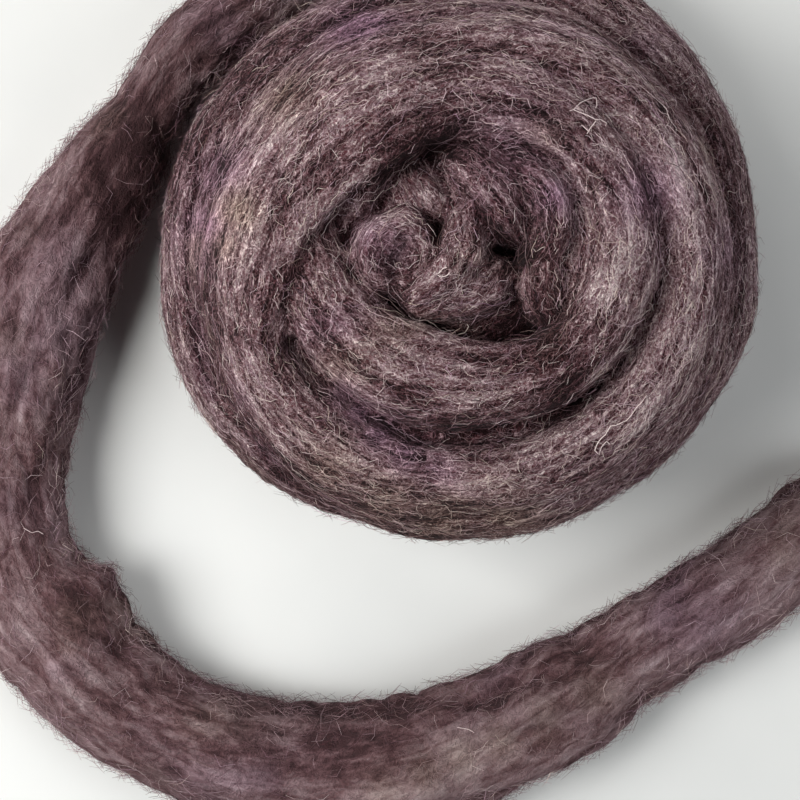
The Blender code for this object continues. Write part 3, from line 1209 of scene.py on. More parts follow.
@dataclass
class Skin:
    """A surface of wool with the direction in which the wool runs at each of its faces."""

    piece: bpy.types.Object
    strands: Sequence[Strand]
    centres: np.ndarray = field(init=False)
    normals: np.ndarray = field(init=False)
    areas: np.ndarray = field(init=False)
    flow: np.ndarray = field(init=False)
    # the fibres' tone from the skin under them, painted light and painted shade included
    tone: np.ndarray = field(init=False)
    tree: BVHTree = field(init=False)

    def __post_init__(self) -> None:
        """Finds each face's strand, lays the wool's run over the faces and stores what the finish reads."""
        mesh = self.piece.data
        points = read_vectors(mesh.vertices, "co")
        self.centres = read_vectors(mesh.polygons, "center")
        self.normals = read_vectors(mesh.polygons, "normal")
        self.areas = read_numbers(mesh.polygons, "area", np.float32)
        corners = read_numbers(mesh.loops, "vertex_index")
        totals = read_numbers(mesh.polygons, "loop_total")
        count = len(totals)
        face_of = np.repeat(np.arange(count), totals)

        # each face belongs to the strand whose section it lies deepest in, and its corners go with it
        found = [strand.locate(self.centres) for strand in self.strands]
        shares = np.stack([place[3] for place in found])
        owner = shares.argmin(axis=0)
        self.flow = np.empty((count, 3))
        run = np.zeros((len(mesh.loops), 2))
        relief = np.zeros(len(mesh.loops))
        streak = np.zeros(len(mesh.loops))
        for number, strand in enumerate(self.strands):
            mine = owner == number
            nearest, _, middle_angle, _ = found[number]
            self.flow[mine] = strand.along[nearest[mine]]
            loops = np.nonzero(mine[face_of])[0]
            _, distance, angle, _ = strand.locate(points[corners[loops]])
            centre = middle_angle[face_of[loops]]
            angle = centre + (angle - centre + math.pi) % (2 * math.pi) - math.pi
            run[loops, 0] = distance + RUN_SHIFT * number
            run[loops, 1] = angle * strand.girth_radius
            relief[loops] = strand.relief(distance, angle)
            streak[loops] = strand.streak(distance, angle)
        self.flow = unit(self.flow - self.normals * dot(self.flow, self.normals))
        layer = mesh.uv_layers.new(name=RUN_MAP)
        layer.data.foreach_set("uv", run.astype(np.float32).ravel())

        # a seam is where a face lies about as deep in a second strand: a crease, darkened there with
        # painted shade
        if len(self.strands) > 1:
            inner, outer = np.partition(shares, 1, axis=0)[:2]
            seam_shade = np.exp(-(outer - inner) / SEAM_WIDTH)
        else:
            seam_shade = np.zeros(count)
        self.tree = BVHTree.FromPolygons(points.tolist(), [tuple(p.vertices) for p in mesh.polygons])
        shade = self._shade()
        uses = np.maximum(1, np.bincount(corners, minlength=len(points)))

        def at_points(values: np.ndarray) -> np.ndarray:
            """The mean of the values of the corners at each point."""
            return np.bincount(corners, values, len(points)) / uses

        # patches of painted shade and painted light, which go into the streaks
        painted_light, painted_shade = patched(points, PAINTED_LIGHT_PATCHES), patched(points, PAINTED_SHADE_PATCHES)
        streaks_and_painted_light = at_points(streak) + PATCH_PAINTED_LIGHT * painted_light - PATCH_PAINTED_SHADE * painted_shade
        store(mesh, "crease_shade", at_points(seam_shade[face_of]))
        store(mesh, "valley_shade", np.clip(-at_points(relief) / VALLEY_DEPTH, 0, 1))
        store(mesh, "shade", at_points(shade[face_of]))
        # the streaks, with the painted light and shade of the patches
        store(mesh, "streak", streaks_and_painted_light)
        store(mesh, "ruffle", patched(points, RUFFLED_PATCHES))
        store(mesh, "lilac", leaning(points, LILAC_PATCHES, LILAC_SEED))
        store(mesh, "tan", leaning(points, TAN_PATCHES, TAN_SEED))
        # the fibres take the painted light and shade of the skin under them
        on_faces = np.bincount(face_of, streaks_and_painted_light[corners], count) / totals
        self.tone = FIBRE_STREAKS * on_faces - FIBRE_SHADE * shade - FIBRE_SEAM_SHADE * seam_shade

    def _shade(self) -> np.ndarray:
        """How much of the sky the wool hides from each face.

        Returns:
            A share from 0 to 1 for each face.
        """
        hidden = np.zeros(len(self.centres))
        above = np.nonzero(self.normals[:, 2] > LOWEST_SHADED)[0]
        starts = (self.centres + self.normals * SKY_START)[above].tolist()
        for number in range(SKY_RAYS):
            turn = 2 * math.pi * number / SKY_RAYS
            lean = math.radians(SKY_LEAN if number % 2 else SKY_LEAN / 2)
            sideways = math.sin(lean)
            ray = Vector((sideways * math.cos(turn), sideways * math.sin(turn), math.cos(lean)))
            hits = [self.tree.ray_cast(start, ray, SKY_REACH)[0] is not None for start in starts]
            hidden[above] += np.array(hits) / SKY_RAYS
        return hidden


def add_piece(name: str, mesh: bpy.types.Mesh) -> bpy.types.Object:
    """A new piece of wool in the scene, which rides on the one body.

    Args:
        name: The piece's name.
        mesh: Its mesh.

    Returns:
        The piece.
    """
    piece = bpy.data.objects.new(name, mesh)
    bpy.context.scene.collection.objects.link(piece)
    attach(piece, "root")
    return piece


def evaluated_mesh(piece: bpy.types.Object) -> bpy.types.Mesh:
    """The mesh that a piece's modifiers make of it."""
    graph = bpy.context.evaluated_depsgraph_get()
    return bpy.data.meshes.new_from_object(piece.evaluated_get(graph))


def tube_maker(sides: int) -> bpy.types.NodeTree:
    """Geometry nodes that make closed tubes of a mesh's edges, as thick as its points say.

    Args:
        sides: Faces round a tube.

    Returns:
        The node group.
    """
    group = bpy.data.node_groups.new("fibre_tubes", "GeometryNodeTree")
    group.interface.new_socket("Geometry", in_out="INPUT", socket_type="NodeSocketGeometry")
    group.interface.new_socket("Geometry", in_out="OUTPUT", socket_type="NodeSocketGeometry")
    nodes, links = group.nodes, group.links
    start, end = nodes.new("NodeGroupInput"), nodes.new("NodeGroupOutput")
    lines = nodes.new("GeometryNodeMeshToCurve")
    thickness = nodes.new("GeometryNodeInputNamedAttribute")
    thickness.data_type = "FLOAT"
    thickness.inputs["Name"].default_value = "thickness"
    ring = nodes.new("GeometryNodeCurvePrimitiveCircle")
    ring.inputs["Resolution"].default_value = sides
    tube = nodes.new("GeometryNodeCurveToMesh")
    tube.inputs["Fill Caps"].default_value = True
    links.new(start.outputs[0], lines.inputs["Mesh"])
    links.new(lines.outputs["Curve"], tube.inputs["Curve"])
    links.new(ring.outputs["Curve"], tube.inputs["Profile Curve"])
    links.new(thickness.outputs["Attribute"], tube.inputs["Scale"])
    links.new(tube.outputs["Mesh"], end.inputs[0])
    return group


FIBRE_SIDES = 3
HUE_SPREAD = 0.3  # how much the fibres differ in how they lean to lilac or to tan

# How a fibre's cell of the baked picture is shared out, along the fibre: its sides, then its two caps
CELL_MARGIN = 0.08  # beside the sides
SIDES_START = 0.06
SIDES_LENGTH = 0.74
FIRST_CAP = 0.86
LAST_CAP = 0.93
CAP_SIZE = 0.04

# How a fibre lies
ROOT_SCATTER = 0.5 * MM  # how far it starts from the middle of a face
WILD_SPREAD = 60.0  # usual angle of the wild fibres to the wool's run, in degrees
CRIMP_RANGE = (0.5, 1.5)  # least and most crimp of a fibre against the usual one
MOST_BOW = 0.5  # in radians over its length
BACKWARD_SHARE = 0.5  # of the fibres, those that start the other way along the strand
FREE_RISE = 0.8  # power by which a fibre rises to its free end
ARCH_RISE = 0.6  # power that makes an arched fibre stay up over most of its length
ROOT_DEPTH = 0.12 * MM  # how far a fibre's end on the skin sinks into it
LEAST_RISE = 0.01  # below which a point counts as such an end
FLOOR_GAP = 0.2 * MM
TIP_SHARE = 0.45  # how thick a fibre would be at the very end of its taper, against its middle
TIP_MARGIN = 0.06  # share of the taper that is left off at each end
NEVER_ZERO = 1e-9  # so that a run straight across the last one still has a sign


def lay_bake_map(mesh: bpy.types.Mesh, fibres: int, knots: int) -> None:
    """Gives every fibre of a mesh a cell of its own in a flat map, for colours baked to a picture.

    Args:
        mesh: Closed tubes, whose points go fibre by fibre, knot by knot and side by side.
        fibres: Number of tubes.
        knots: Points along each of them.
    """
    corners = read_numbers(mesh.loops, "vertex_index")
    totals = read_numbers(mesh.polygons, "loop_total")
    face_of = np.repeat(np.arange(len(totals)), totals)
    side, knot = corners % FIBRE_SIDES, corners // FIBRE_SIDES % knots
    cells = math.ceil(math.sqrt(fibres))
    row, column = np.divmod(corners // (FIBRE_SIDES * knots), cells)
    closes = np.zeros(len(totals), dtype=bool)
    closes[face_of[side == FIBRE_SIDES - 1]] = True
    side = np.where((side == 0) & closes[face_of], FIBRE_SIDES, side)
    on_cap = totals[face_of] == FIBRE_SIDES
    across = CELL_MARGIN + (1 - 2 * CELL_MARGIN) * side / FIBRE_SIDES
    along = SIDES_START + SIDES_LENGTH * knot / (knots - 1)
    cap = np.where(knot == 0, FIRST_CAP, LAST_CAP) + CAP_SIZE * (side == 1)
    flat = np.stack((column + np.where(on_cap, cap, along), row + across), axis=1)
    layer = mesh.uv_layers.new(name=BAKE_MAP)
    layer.data.foreach_set("uv", (flat / cells).astype(np.float32).ravel())


def fibre_mesh(
    name: str,
    lines: np.ndarray,
    radii: np.ndarray,
    tints: np.ndarray,
    hues: np.ndarray,
) -> bpy.types.Mesh:
    """Closed thin tubes along lines.

    Args:
        name: The mesh's name.
        lines: Points of each fibre, as an array of fibres, points and x, y, z.
        radii: Radius at each of those points.
        tints: Tone of each fibre, from 0 to 1.
        hues: How far each fibre leans from tan, at -1, to lilac, at 1.

    Returns:
        A mesh that holds every fibre.
    """
    fibres, knots = radii.shape
    count = fibres * knots
    mesh = bpy.data.meshes.new(name + "_lines")
    mesh.vertices.add(count)
    mesh.vertices.foreach_set("co", lines.astype(np.float32).ravel())
    starts = np.arange(count).reshape(fibres, knots)[:, :-1].ravel()
    mesh.edges.add(len(starts))
    mesh.edges.foreach_set("vertices", np.stack((starts, starts + 1), axis=1).astype(np.int32).ravel())
    points = lines.reshape(-1, 3)
    store(mesh, "thickness", radii.ravel())
    store(mesh, "tint", np.repeat(tints, knots))
    hue = np.repeat(hues, knots)
    store(mesh, "lilac", np.maximum(leaning(points, LILAC_PATCHES, LILAC_SEED), hue))
    store(mesh, "tan", np.maximum(leaning(points, TAN_PATCHES, TAN_SEED), -hue))
    holder = bpy.data.objects.new(name + "_lines", mesh)
    bpy.context.scene.collection.objects.link(holder)
    tubes = holder.modifiers.new("tubes", "NODES")
    tubes.node_group = bpy.data.node_groups.get("fibre_tubes") or tube_maker(FIBRE_SIDES)
    made = evaluated_mesh(holder)
    made.name = name
    lay_bake_map(made, fibres, knots)
    bpy.data.objects.remove(holder, do_unlink=True)
    bpy.data.meshes.remove(mesh)
    return made


# How thickly fibres lie on the faces of a skin, from the faces' centres and normals
Weight = Callable[[np.ndarray, np.ndarray], np.ndarray]


@dataclass(frozen=True)
class FibreCoat:
    """Loose fibres lying over a skin, more or less in the run of its wool."""

    name: str
    count: int
    pieces: int
    seed: int
    length: tuple[float, float]  # least and most, as for radius and lift
    radius: tuple[float, float]
    wander: float = 17.0  # usual angle to the run, in degrees
    wild_share: float = 0.2  # of the fibres, those that lie at any angle
    crimp: float = 22.0  # how far a fibre swings to and fro, in degrees
    crimp_length: float = 6.5 * MM
    lift: tuple[float, float] = (0.05 * MM, 0.45 * MM)  # how far it rises off the skin
    free_end: bool = False  # whether a fibre stands off the skin at one end instead of in the middle
    knots: int = 7
    tone: tuple[float, float] = (0.55, 0.25)  # middle and spread of the tints

    def grow(self, skin: Skin, weight: Weight) -> list[bpy.types.Object]:
        """Grows the fibres, each from a face on over the skin.

        Args:
            skin: What they lie on.
            weight: How thickly they lie.

        Returns:
            The pieces that hold them.
        """
        random = np.random.default_rng(self.seed)
        share = skin.areas * weight(skin.centres, skin.normals)
        start = random.choice(len(share), self.count, p=share / share.sum())
        place = skin.centres[start] + random.normal(0, ROOT_SCATTER, (self.count, 3))
        length = random.uniform(*self.length, self.count)
        step = length / (self.knots - 1)
        ruffled = patched(skin.centres[start], RUFFLED_PATCHES)
        wild = random.random(self.count) < np.maximum(self.wild_share, ruffled)
        heading = np.radians(random.normal(0, np.where(wild, WILD_SPREAD, self.wander)))
        phase = random.uniform(0, 2 * math.pi, self.count)
        swing = np.radians(self.crimp * random.uniform(*CRIMP_RANGE, self.count))
        bow = random.uniform(-MOST_BOW, MOST_BOW, self.count)
        peak = random.uniform(*self.lift, self.count)
        back = random.random(self.count) < BACKWARD_SHARE
        last = skin.flow[start] * np.where(back, -1.0, 1.0)[:, None]
        lines = np.empty((self.count, self.knots, 3))
        for knot in range(self.knots):
            t = knot / (self.knots - 1)
            hits = [skin.tree.find_nearest(point) for point in place.tolist()]
            on_skin = np.array([hit[0] for hit in hits])
            normal = np.array([hit[1] for hit in hits])
            face = np.array([hit[2] for hit in hits])
            rise = t**FREE_RISE if self.free_end else math.sin(math.pi * t) ** ARCH_RISE
            height = peak * rise - ROOT_DEPTH * (rise < LEAST_RISE)
            lines[:, knot] = on_skin + normal * height[:, None]
            flow = skin.flow[face]
            flow = flow * np.sign(dot(flow, last) + NEVER_ZERO)
            side = np.cross(normal, flow)
            wave = np.sin(2 * math.pi * knot * step / self.crimp_length + phase)
            angle = heading + bow * (t - 0.5) + swing * wave
            onward = flow * np.cos(angle)[:, None] + side * np.sin(angle)[:, None]
            place = on_skin + onward * step[:, None]
            last = flow
        lines[:, :, 2] = np.maximum(lines[:, :, 2], FLOOR_GAP)
        crown = np.sin(math.pi * np.linspace(TIP_MARGIN, 1 - TIP_MARGIN, self.knots))
        taper = TIP_SHARE + (1 - TIP_SHARE) * crown
        radii = random.uniform(*self.radius, self.count)[:, None] * taper
        # each fibre's tint takes in the painted light and shade of the skin where it starts
        tints = np.clip(random.normal(*self.tone, self.count) + skin.tone[start], 0, 1)
        hues = np.clip(random.normal(0, HUE_SPREAD, self.count), -1, 1)
        made = []
        for number, chosen in enumerate(np.array_split(random.permutation(self.count), self.pieces)):
            name = f"{self.name}_{number + 1}"
            mesh = fibre_mesh(name, lines[chosen], radii[chosen], tints[chosen], hues[chosen])
            made.append(add_piece(name, mesh))
            log.info("%s: %d fibres", name, len(chosen))
        return made


class Stray(NamedTuple):
    """A long pale fibre that stands out on the wool, by the photograph's pixels that it runs through."""

    name: str
    pixels: Sequence[Pixel]


STRAYS_ON_BALL = (
    Stray(
        name="loop at the back, its far side",
        pixels=(
            (569, 112), (573, 111), (578, 105), (582, 103), (587, 101),
            (594, 98), (595, 103), (595, 108), (594, 110),
        ),
    ),
    Stray(
        name="loop at the back, its near side",
        pixels=(
            (573, 111), (580, 114), (586, 116), (591, 119), (595, 121),
            (599, 121), (602, 123), (605, 125), (604, 127),
        ),
    ),
    Stray(name="tail of that loop", pixels=((595, 122), (592, 126), (589, 130), (588, 132), (586, 135))),
    Stray(name="short end by that tail", pixels=((580, 127), (582, 127), (585, 130), (587, 132))),
    Stray(
        name="long curve on the right, its start",
        pixels=(
            (646, 395), (641, 402), (636, 407), (633, 412),
            (629, 417), (626, 420), (621, 422), (615, 425),
        ),
    ),
    Stray(
        name="long curve on the right, its middle",
        pixels=(
            (615, 425), (610, 425), (607, 430), (605, 434),
            (601, 437), (598, 441), (596, 444), (594, 449),
        ),
    ),
    Stray(
        name="long curve on the right, its hooked end",
        pixels=((594, 449), (598, 453), (599, 449), (601, 445), (606, 440), (609, 443)),
    ),
    Stray(name="far end over the folds", pixels=((437, 273), (440, 272), (444, 268), (447, 267))),
    Stray(name="near end over the folds", pixels=((439, 274), (442, 276), (447, 274), (450, 271))),
    Stray(
        name="hook before the folds",
        pixels=((467, 321), (468, 325), (467, 329), (465, 332), (460, 333), (457, 335)),
    ),
)
STRAYS_ON_LOOSE_END = (
    Stray(
        name="on the left, its inner edge",
        pixels=((60, 489), (62, 493), (65, 500), (67, 508), (69, 516), (71, 523)),
    ),
    Stray(name="in front", pixels=((457, 728), (463, 728), (469, 729), (474, 732))),
    Stray(name="on the left, its middle", pixels=((24, 528), (31, 533), (37, 531), (43, 534))),
)
STRAY_KNOTS = 12
STRAY_RADIUS = 0.11 * MM
STRAY_LIFT = 0.7 * MM


def add_strays(name: str, skin: Skin, strays: Sequence[Stray]) -> bpy.types.Object:
    """Lays a few stray fibres over a skin.

    Args:
        name: The piece's name.
        skin: What they lie over.
        strays: Where each of them runs.

    Returns:
        The piece that holds them.
    """
    lines = []
    for stray in strays:
        log.info("%s: %s", name, stray.name)
        found = []
        for x, y in stray.pixels:
            ray = (from_photo(x, y) - CAMERA_PLACE).normalized()
            place, normal, _, _ = skin.tree.ray_cast(CAMERA_PLACE, ray)
            if place is not None:
                found.append(place + normal * STRAY_LIFT)
        points = np.array(found)
        reach = np.concatenate(([0.0], np.cumsum(np.linalg.norm(np.diff(points, axis=0), axis=1))))
        even = np.linspace(0, reach[-1], STRAY_KNOTS)
        lines.append(np.stack([np.interp(even, reach, column) for column in points.T], axis=1))
    count = len(lines)
    radii = np.full((count, STRAY_KNOTS), STRAY_RADIUS)
    mesh = fibre_mesh(name, np.array(lines), radii, tints=np.full(count, 1.0), hues=np.zeros(count))
    log.info("%s: %d fibres", name, count)
    return add_piece(name, mesh)


@dataclass
class LooseEnd:
    """The strand's free end, which lies round the ball on the surface."""

    spacing: float = 1.45 * MM
    sides: int = 60
    samples: int = 260
    strand: Strand = field(init=False)

    def __post_init__(self) -> None:
        """Draws a smooth curve through the route and gives it its sections."""
        rows = np.array(ROUTE, dtype=float) * MM
        rows = np.vstack((2 * rows[0] - rows[1], rows, 2 * rows[-1] - rows[-2]))
        t = np.linspace(0, 1, ROUTE_STEPS, endpoint=False)[:, None]
        fours = zip(rows, rows[1:], rows[2:], rows[3:])
        curve = np.vstack((*(smooth_between(*four, t) for four in fours), rows[-2]))
        reach = np.concatenate(([0.0], np.cumsum(np.linalg.norm(np.diff(curve[:, :2], axis=0), axis=1))))
        distance = np.linspace(0, reach[-1], self.samples)
        x, y, width, height = (np.interp(distance, reach, column) for column in curve.T)
        left = np.minimum((reach[-1] - distance) / TORN_END_LENGTH, 1.0)
        share = TORN_END_SHARE + (1 - TORN_END_SHARE) * np.sin(left * math.pi / 2)
        tucked = np.minimum(distance / TUCKED_START_LENGTH, 1.0)
        share *= TUCKED_START_SHARE + (1 - TUCKED_START_SHARE) * np.sin(tucked * math.pi / 2)
        share *= unevenness(distance, LOOSE_END_PHASE)
        middle = np.stack((x, y, height * share * RESTING_SHARE), axis=1)
        self.strand = Strand(
            middle=middle,
            out=np.tile((0.0, 0.0, 1.0), (self.samples, 1)),
            width=width * share,
            thickness=height * share,
            ridges=LOOSE_END_RIDGES,
            seed=LOOSE_END_SEED,
            bulges=LOOSE_END_BULGES,
        )

    def build(self) -> Skin:
        """Builds the loose end, pressed flat where it lies on the surface.

        Returns:
            Its skin.
        """
        bm = bmesh.new()
        self.strand.add_tube(bm, self.spacing, self.sides)
        for vert in bm.verts:
            vert.co.z = max(vert.co.z, 0.0)
        bmesh.ops.recalc_face_normals(bm, faces=bm.faces)
        mesh = bpy.data.meshes.new("loose_end_wool")
        bm.to_mesh(mesh)
        bm.free()
        mesh.shade_smooth()
        piece = add_piece("loose_end_wool", mesh)
        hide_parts("loose_end")
        piece.data.materials.append(LOOSE_END_FINISH.material())
        log.info("loose end: %.0f mm long", self.strand.length / MM)
        return Skin(piece, [self.strand])


# The crumpled middle of the ball
CRUMPLED_PATCHES = (Patch(x=445, y=245, size=19, strength=1.0),)
CRUMPLE_SIZE = 6.5 * MM
CRUMPLE_DETAIL = 2.3  # how many times finer the small lumps are
CRUMPLE_HEIGHT = 3.2 * MM
CRUMPLE_SINK = 0.16  # of that height, how deep the creases go
FINE_CRUMPLE = 0.5  # height of the small lumps against the broad ones
LEAST_CRUMPLE = 0.02  # share up to which a place stays as it is


def crumple(bm: bmesh.types.BMesh) -> None:
    """Breaks up the even turns in the ball's middle into soft lumps with creases between them.

    Args:
        bm: The ball's skin.
    """
    bm.normal_update()
    above = [vert for vert in bm.verts if vert.co.z > MIDDLE_HEIGHT]
    shares = patched(np.array([vert.co for vert in above]), CRUMPLED_PATCHES)
    for vert, share in zip(above, shares):
        if share > LEAST_CRUMPLE:
            broad = abs(noise.noise(vert.co / CRUMPLE_SIZE))
            fine = abs(noise.noise(vert.co / CRUMPLE_SIZE * CRUMPLE_DETAIL))
            rise = broad + fine * FINE_CRUMPLE - CRUMPLE_SINK
            vert.co += vert.normal * float(share) * CRUMPLE_HEIGHT * rise


LEAST_SHELL = 1000  # vertices below which a shell inside the ball's skin is dropped
SMOOTHING = 0.5


@dataclass
class WoundBall:
    """The wound ball: every turn of the strand and its firm inside, merged into one skin."""

    voxel: float = 1.15 * MM
    spacing: float = 2.0 * MM
    sides: int = 36
    strands: list[Strand] = field(init=False)

    def __post_init__(self) -> None:
        """Lays out the turns."""
        self.strands = [turn.strand(number) for number, turn in enumerate(TURNS)]
        for turn, strand in zip(TURNS, self.strands):
            log.info("turn %s: %.0f mm long", turn.name, strand.length / MM)

    def build(self) -> Skin:
        """Builds the ball, with its flat spot.

        Returns:
            Its skin.
        """
        bm = bmesh.new()
        self._add_core(bm)
        for strand in self.strands:
            strand.add_tube(bm, self.spacing, self.sides)
        bmesh.ops.recalc_face_normals(bm, faces=bm.faces)
        mesh = bpy.data.meshes.new("ball_turns")
        bm.to_mesh(mesh)
        bm.free()
        turns = bpy.data.objects.new("ball_turns", mesh)
        bpy.context.scene.collection.objects.link(turns)
        skin = turns.modifiers.new("one_skin", "REMESH")
        skin.mode = "VOXEL"
        skin.voxel_size = self.voxel
        made = evaluated_mesh(turns)
        bpy.data.objects.remove(turns, do_unlink=True)
        self._tidy(made)
        made.name = "ball_wool"
        piece = add_piece("ball_wool", made)
        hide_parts("ball")
        piece.data.materials.append(BALL_FINISH.material())
        log.info("ball: %d faces", len(made.polygons))
        return Skin(piece, self.strands)

    @staticmethod
    def _add_core(bm: bmesh.types.BMesh) -> None:
        """Turns the firm inside of the ball from its profile.

        Args:
            bm: The mesh that takes it.
        """
        verts = [bm.verts.new((radius * MM, 0, height * MM)) for radius, height in CORE_PROFILE]
        edges = [bm.edges.new(pair) for pair in zip(verts, verts[1:])]
        bmesh.ops.spin(
            bm,
            geom=verts + edges,
            cent=(0, 0, 0),
            axis=(0, 0, 1),
            angle=2 * math.pi,
            steps=CORE_SEGMENTS,
            use_merge=True,
        )
        bmesh.ops.remove_doubles(bm, verts=bm.verts, dist=WELD)

    @staticmethod
    def _tidy(mesh: bpy.types.Mesh) -> None:
        """Keeps the one outer skin, smooths its steps, crumples its middle and presses its underside flat.

        Args:
            mesh: The merged turns, which the finished skin replaces.
        """
        bm = bmesh.new()
        bm.from_mesh(mesh)
        left = set(bm.verts)
        while left:
            seed = left.pop()
            island, edge = {seed}, [seed]
            while edge:
                for link in edge.pop().link_edges:
                    for vert in link.verts:
                        if vert not in island:
                            island.add(vert)
                            edge.append(vert)
            left -= island
            if len(island) < LEAST_SHELL:
                bmesh.ops.delete(bm, geom=list(island), context="VERTS")
        bmesh.ops.smooth_vert(
            bm,
            verts=bm.verts,
            factor=SMOOTHING,
            use_axis_x=True,
            use_axis_y=True,
            use_axis_z=True,
        )
        crumple(bm)
        for vert in bm.verts:
            vert.co.z = max(vert.co.z, 0.0)
        bm.to_mesh(mesh)
        bm.free()
        mesh.shade_smooth()


NEAREST_SEEN = 10 * MM  # from the camera
LAMP_AIM = Vector((0.0, 0.0, 30.0)) * MM
DAYLIGHT = (1.0, 0.99, 0.97)
COOL_LIGHT = (0.97, 0.99, 1.0)
ROOM_COLOUR = (0.93, 0.95, 1.0, 1.0)
FLOOR_REACH = 1.5  # from the middle to each side
FLOOR_DEPTH = 0.2 * MM  # below the wool
FLOOR_CLOUD = (90 * MM, 90 * MM, 90 * MM)
FLOOR_STOPS = ((0.2, linear(226, 228, 227)), (0.8, linear(238, 239, 237)))
FLOOR_ROUGHNESS = 0.6


class Lamp(NamedTuple):
    """A soft lamp that points at the ball."""

    name: str
    place: Span
    size: float
    watts: float
    colour: Span


@dataclass(frozen=True)
class Studio:
    """The camera straight above, soft lamps and a plain pale floor."""

    lamps: Sequence[Lamp] = (
        Lamp("window", place=(-0.7, 0.0, 0.75), size=0.6, watts=8.6, colour=DAYLIGHT),
        Lamp("low_window", place=(-0.8, -0.2, 0.6), size=0.6, watts=2.9, colour=DAYLIGHT),
        Lamp("back_window", place=(-0.5, 0.8, 0.5), size=0.6, watts=3.9, colour=DAYLIGHT),
        Lamp("fill", place=(0.7, -0.3, 0.6), size=0.6, watts=4.3, colour=COOL_LIGHT),
    )
    world_light: float = 0.02

    def set_camera(self) -> None:
        """Puts the camera where the photograph was taken from."""
        data = bpy.data.cameras.new("camera")
        data.sensor_width = SENSOR_WIDTH
        distance = CAMERA_PLACE.z - PIXEL_LEVEL
        data.lens = SENSOR_WIDTH / 2 * distance / (PHOTO_MIDDLE[0] * PIXEL)
        data.clip_start = NEAREST_SEEN
        camera = bpy.data.objects.new("camera", data)
        camera.location = CAMERA_PLACE
        bpy.context.scene.collection.objects.link(camera)
        bpy.context.scene.camera = camera

    def light(self) -> None:
        """Adds the lamps and the room's light."""
        for lamp in self.lamps:
            data = bpy.data.lights.new(lamp.name, "AREA")
            data.size, data.energy, data.color = lamp.size, lamp.watts, lamp.colour
            made = bpy.data.objects.new(lamp.name, data)
            made.location = lamp.place
            aim = LAMP_AIM - made.location
            made.rotation_euler = aim.to_track_quat("-Z", "Y").to_euler()
            bpy.context.scene.collection.objects.link(made)
        world = bpy.data.worlds.new("room")
        world.use_nodes = True
        background = world.node_tree.nodes["Background"]
        background.inputs["Color"].default_value = ROOM_COLOUR
        background.inputs["Strength"].default_value = self.world_light
        bpy.context.scene.world = world
        bpy.context.scene.view_settings.view_transform = "Standard"

    def lay_floor(self) -> None:
        """Lays the pale floor just under the wool."""
        bm = bmesh.new()
        bmesh.ops.create_grid(bm, x_segments=1, y_segments=1, size=FLOOR_REACH)
        mesh = bpy.data.meshes.new("floor")
        bm.to_mesh(mesh)
        bm.free()
        floor = bpy.data.objects.new("floor", mesh)
        floor.location.z = -FLOOR_DEPTH
        bpy.context.scene.collection.objects.link(floor)
        bench = Bench("pale_floor")
        clouds = bench.noise(bench.place(), FLOOR_CLOUD, detail=3.0)
        bench.feed(bench.shader.inputs["Base Color"], bench.ramp(clouds, FLOOR_STOPS))
        bench.feed(bench.shader.inputs["Roughness"], FLOOR_ROUGHNESS)
        mesh.materials.append(bench.material)


# Where the fibres lie. A slope is the upward part of a face's normal
SIDE_SHARE = 0.35  # how thickly they lie on the sides, against the top
LOWEST_SLOPE = -0.25  # faces that turn down further than this have none
LOWEST_FIBRE = 1.5 * MM  # above the floor
EDGE_SLOPE = 0.1  # where the fuzz is thickest
EDGE_REACH = 1.15  # slopes further from that than this would have none
EDGE_POWER = 3
LOWEST_FUZZ_SLOPE = -0.35
LOWEST_FUZZ = 2.5 * MM
START_COAT_REACH = 38 * MM
START_COAT_FULL = 1.3  # thickness there before it is cut to 1, so that the first of it is even


def open_to_view(centres: np.ndarray, normals: np.ndarray) -> np.ndarray:
    """Fibres lie thickest on top, thinner down the sides, and not underneath.

    Args:
        centres: Middles of a skin's faces.
        normals: Their normals.

    Returns:
        How thickly the fibres lie on each face.
    """
    slope = normals[:, 2]
    share = SIDE_SHARE + (1 - SIDE_SHARE) * np.clip(slope, 0, 1)
    return share * (slope > LOWEST_SLOPE) * (centres[:, 2] > LOWEST_FIBRE)


def round_edges(centres: np.ndarray, normals: np.ndarray) -> np.ndarray:
    """Fuzz stands out most where the wool turns down to its sides.

    Args:
        centres: Middles of a skin's faces.
        normals: Their normals.

    Returns:
        How thickly the fuzz stands on each face.
    """
    slope = normals[:, 2]
    share = (EDGE_REACH - np.abs(slope - EDGE_SLOPE)) ** EDGE_POWER
    return share * (slope > LOWEST_FUZZ_SLOPE) * (centres[:, 2] > LOWEST_FUZZ)


def near_start(centres: np.ndarray, normals: np.ndarray) -> np.ndarray:
    """The ball's coat runs on over the first of the loose end, and thins out from there.

    Args:
        centres: Middles of the loose end's faces.
        normals: Their normals.

    Returns:
        How thickly that coat lies on each face.
    """
    gap = np.linalg.norm(centres[:, :2] - np.array(ROUTE[0][:2]) * MM, axis=1)
    return np.clip(START_COAT_FULL - gap / START_COAT_REACH, 0, 1) * open_to_view(centres, normals)


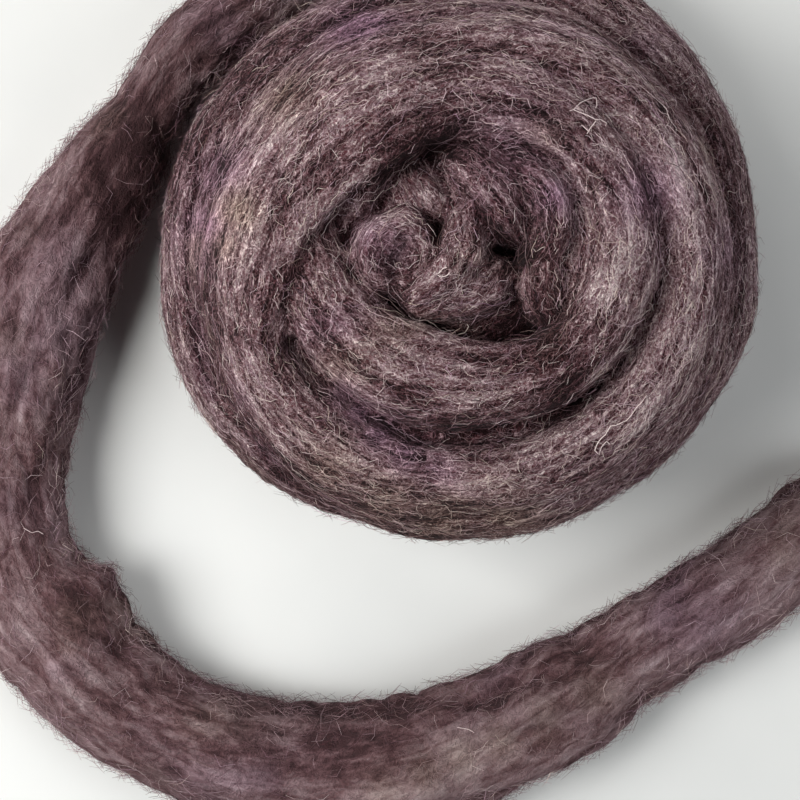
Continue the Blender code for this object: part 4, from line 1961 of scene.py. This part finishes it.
# The finishes of the two skins, and the coats of fibres over them
BALL_FINISH = SkinFinish("ball_wool")
LOOSE_END_FINISH = SkinFinish(
    "loose_end_wool",
    hair=(4.0 * MM, 1.2 * MM),
    sharpness=16.0,
    lock=(11.0 * MM, 2.4 * MM),
    locks=0.4,
    parting_shade=0.10,
    valley_shade=0.12,
    base=0.355,
    contrast=0.16,
    grain=0.12,
    streaks_and_painted_light=0.13,
    darkest=0.09,
    clouds=0.75,
    cloud=(8.0 * MM, 3.5 * MM),
    dust=0.5,
)
LOOSE_END_MAT = FibreCoat(
    "loose_end_fibres",
    count=2200,
    pieces=1,
    seed=21,
    length=(4 * MM, 10 * MM),
    radius=(0.03 * MM, 0.06 * MM),
    wander=24.0,
    wild_share=0.3,
    crimp=30.0,
    crimp_length=4.0 * MM,
    knots=4,
    tone=(0.47, 0.07),
)
LOOSE_END_FUZZ = FibreCoat(
    "loose_end_fuzz",
    count=9000,
    pieces=1,
    seed=24,
    length=(3 * MM, 7 * MM),
    radius=(0.030 * MM, 0.066 * MM),
    wander=45.0,
    wild_share=0.5,
    crimp=34.0,
    crimp_length=6.0 * MM,
    lift=(0.4 * MM, 2.9 * MM),
    free_end=True,
    knots=3,
    tone=(0.67, 0.15),
)
BALL_MAT = FibreCoat(
    "ball_fibres",
    count=24500,
    pieces=3,
    seed=22,
    length=(2.6 * MM, 6.5 * MM),
    radius=(0.035 * MM, 0.078 * MM),
    wander=28.0,
    wild_share=0.32,
    crimp=30.0,
    crimp_length=3.6 * MM,
    knots=4,
    tone=(0.54, 0.32),
)
LOOSE_END_START = replace(BALL_MAT, name="loose_end_start", count=900, pieces=1, seed=26)
BALL_OVERLAY = FibreCoat(
    "ball_overlay",
    count=1200,
    pieces=1,
    seed=23,
    length=(9 * MM, 20 * MM),
    radius=(0.03 * MM, 0.06 * MM),
    wander=26.0,
    wild_share=0.35,
    crimp=30.0,
    crimp_length=6.0 * MM,
    lift=(0.3 * MM, 1.2 * MM),
    knots=8,
    tone=(0.72, 0.2),
)
BALL_FUZZ = FibreCoat(
    "ball_fuzz",
    count=4800,
    pieces=1,
    seed=25,
    length=(2 * MM, 6 * MM),
    radius=(0.028 * MM, 0.058 * MM),
    wander=45.0,
    wild_share=0.5,
    crimp=34.0,
    crimp_length=7.0 * MM,
    lift=(0.4 * MM, 2.2 * MM),
    free_end=True,
    knots=3,
    tone=(0.65, 0.2),
)


def main() -> None:
    """Builds the camera, the loose end, the ball, the lamps and the floor."""
    logging.basicConfig(level=logging.INFO, format="%(message)s")
    studio = Studio()
    studio.set_camera()

    loose_end = LooseEnd()
    loose_skin = loose_end.build()
    loose_fibres = [add_strays("loose_end_strays", loose_skin, STRAYS_ON_LOOSE_END)]
    loose_fibres += LOOSE_END_MAT.grow(loose_skin, open_to_view)
    loose_fibres += LOOSE_END_FUZZ.grow(loose_skin, round_edges)
    loose_fibres += LOOSE_END_START.grow(loose_skin, near_start)

    ball_skin = WoundBall().build()
    ball_fibres = [add_strays("ball_strays", ball_skin, STRAYS_ON_BALL)]
    ball_fibres += BALL_MAT.grow(ball_skin, open_to_view)
    ball_fibres += BALL_OVERLAY.grow(ball_skin, open_to_view)
    ball_fibres += BALL_FUZZ.grow(ball_skin, round_edges)

    fibre_finish = FibreFinish("fibres").material()
    for piece in (*loose_fibres, *ball_fibres):
        piece.data.materials.append(fibre_finish)
    studio.light()
    studio.lay_floor()


if __name__ == "__main__":
    main()
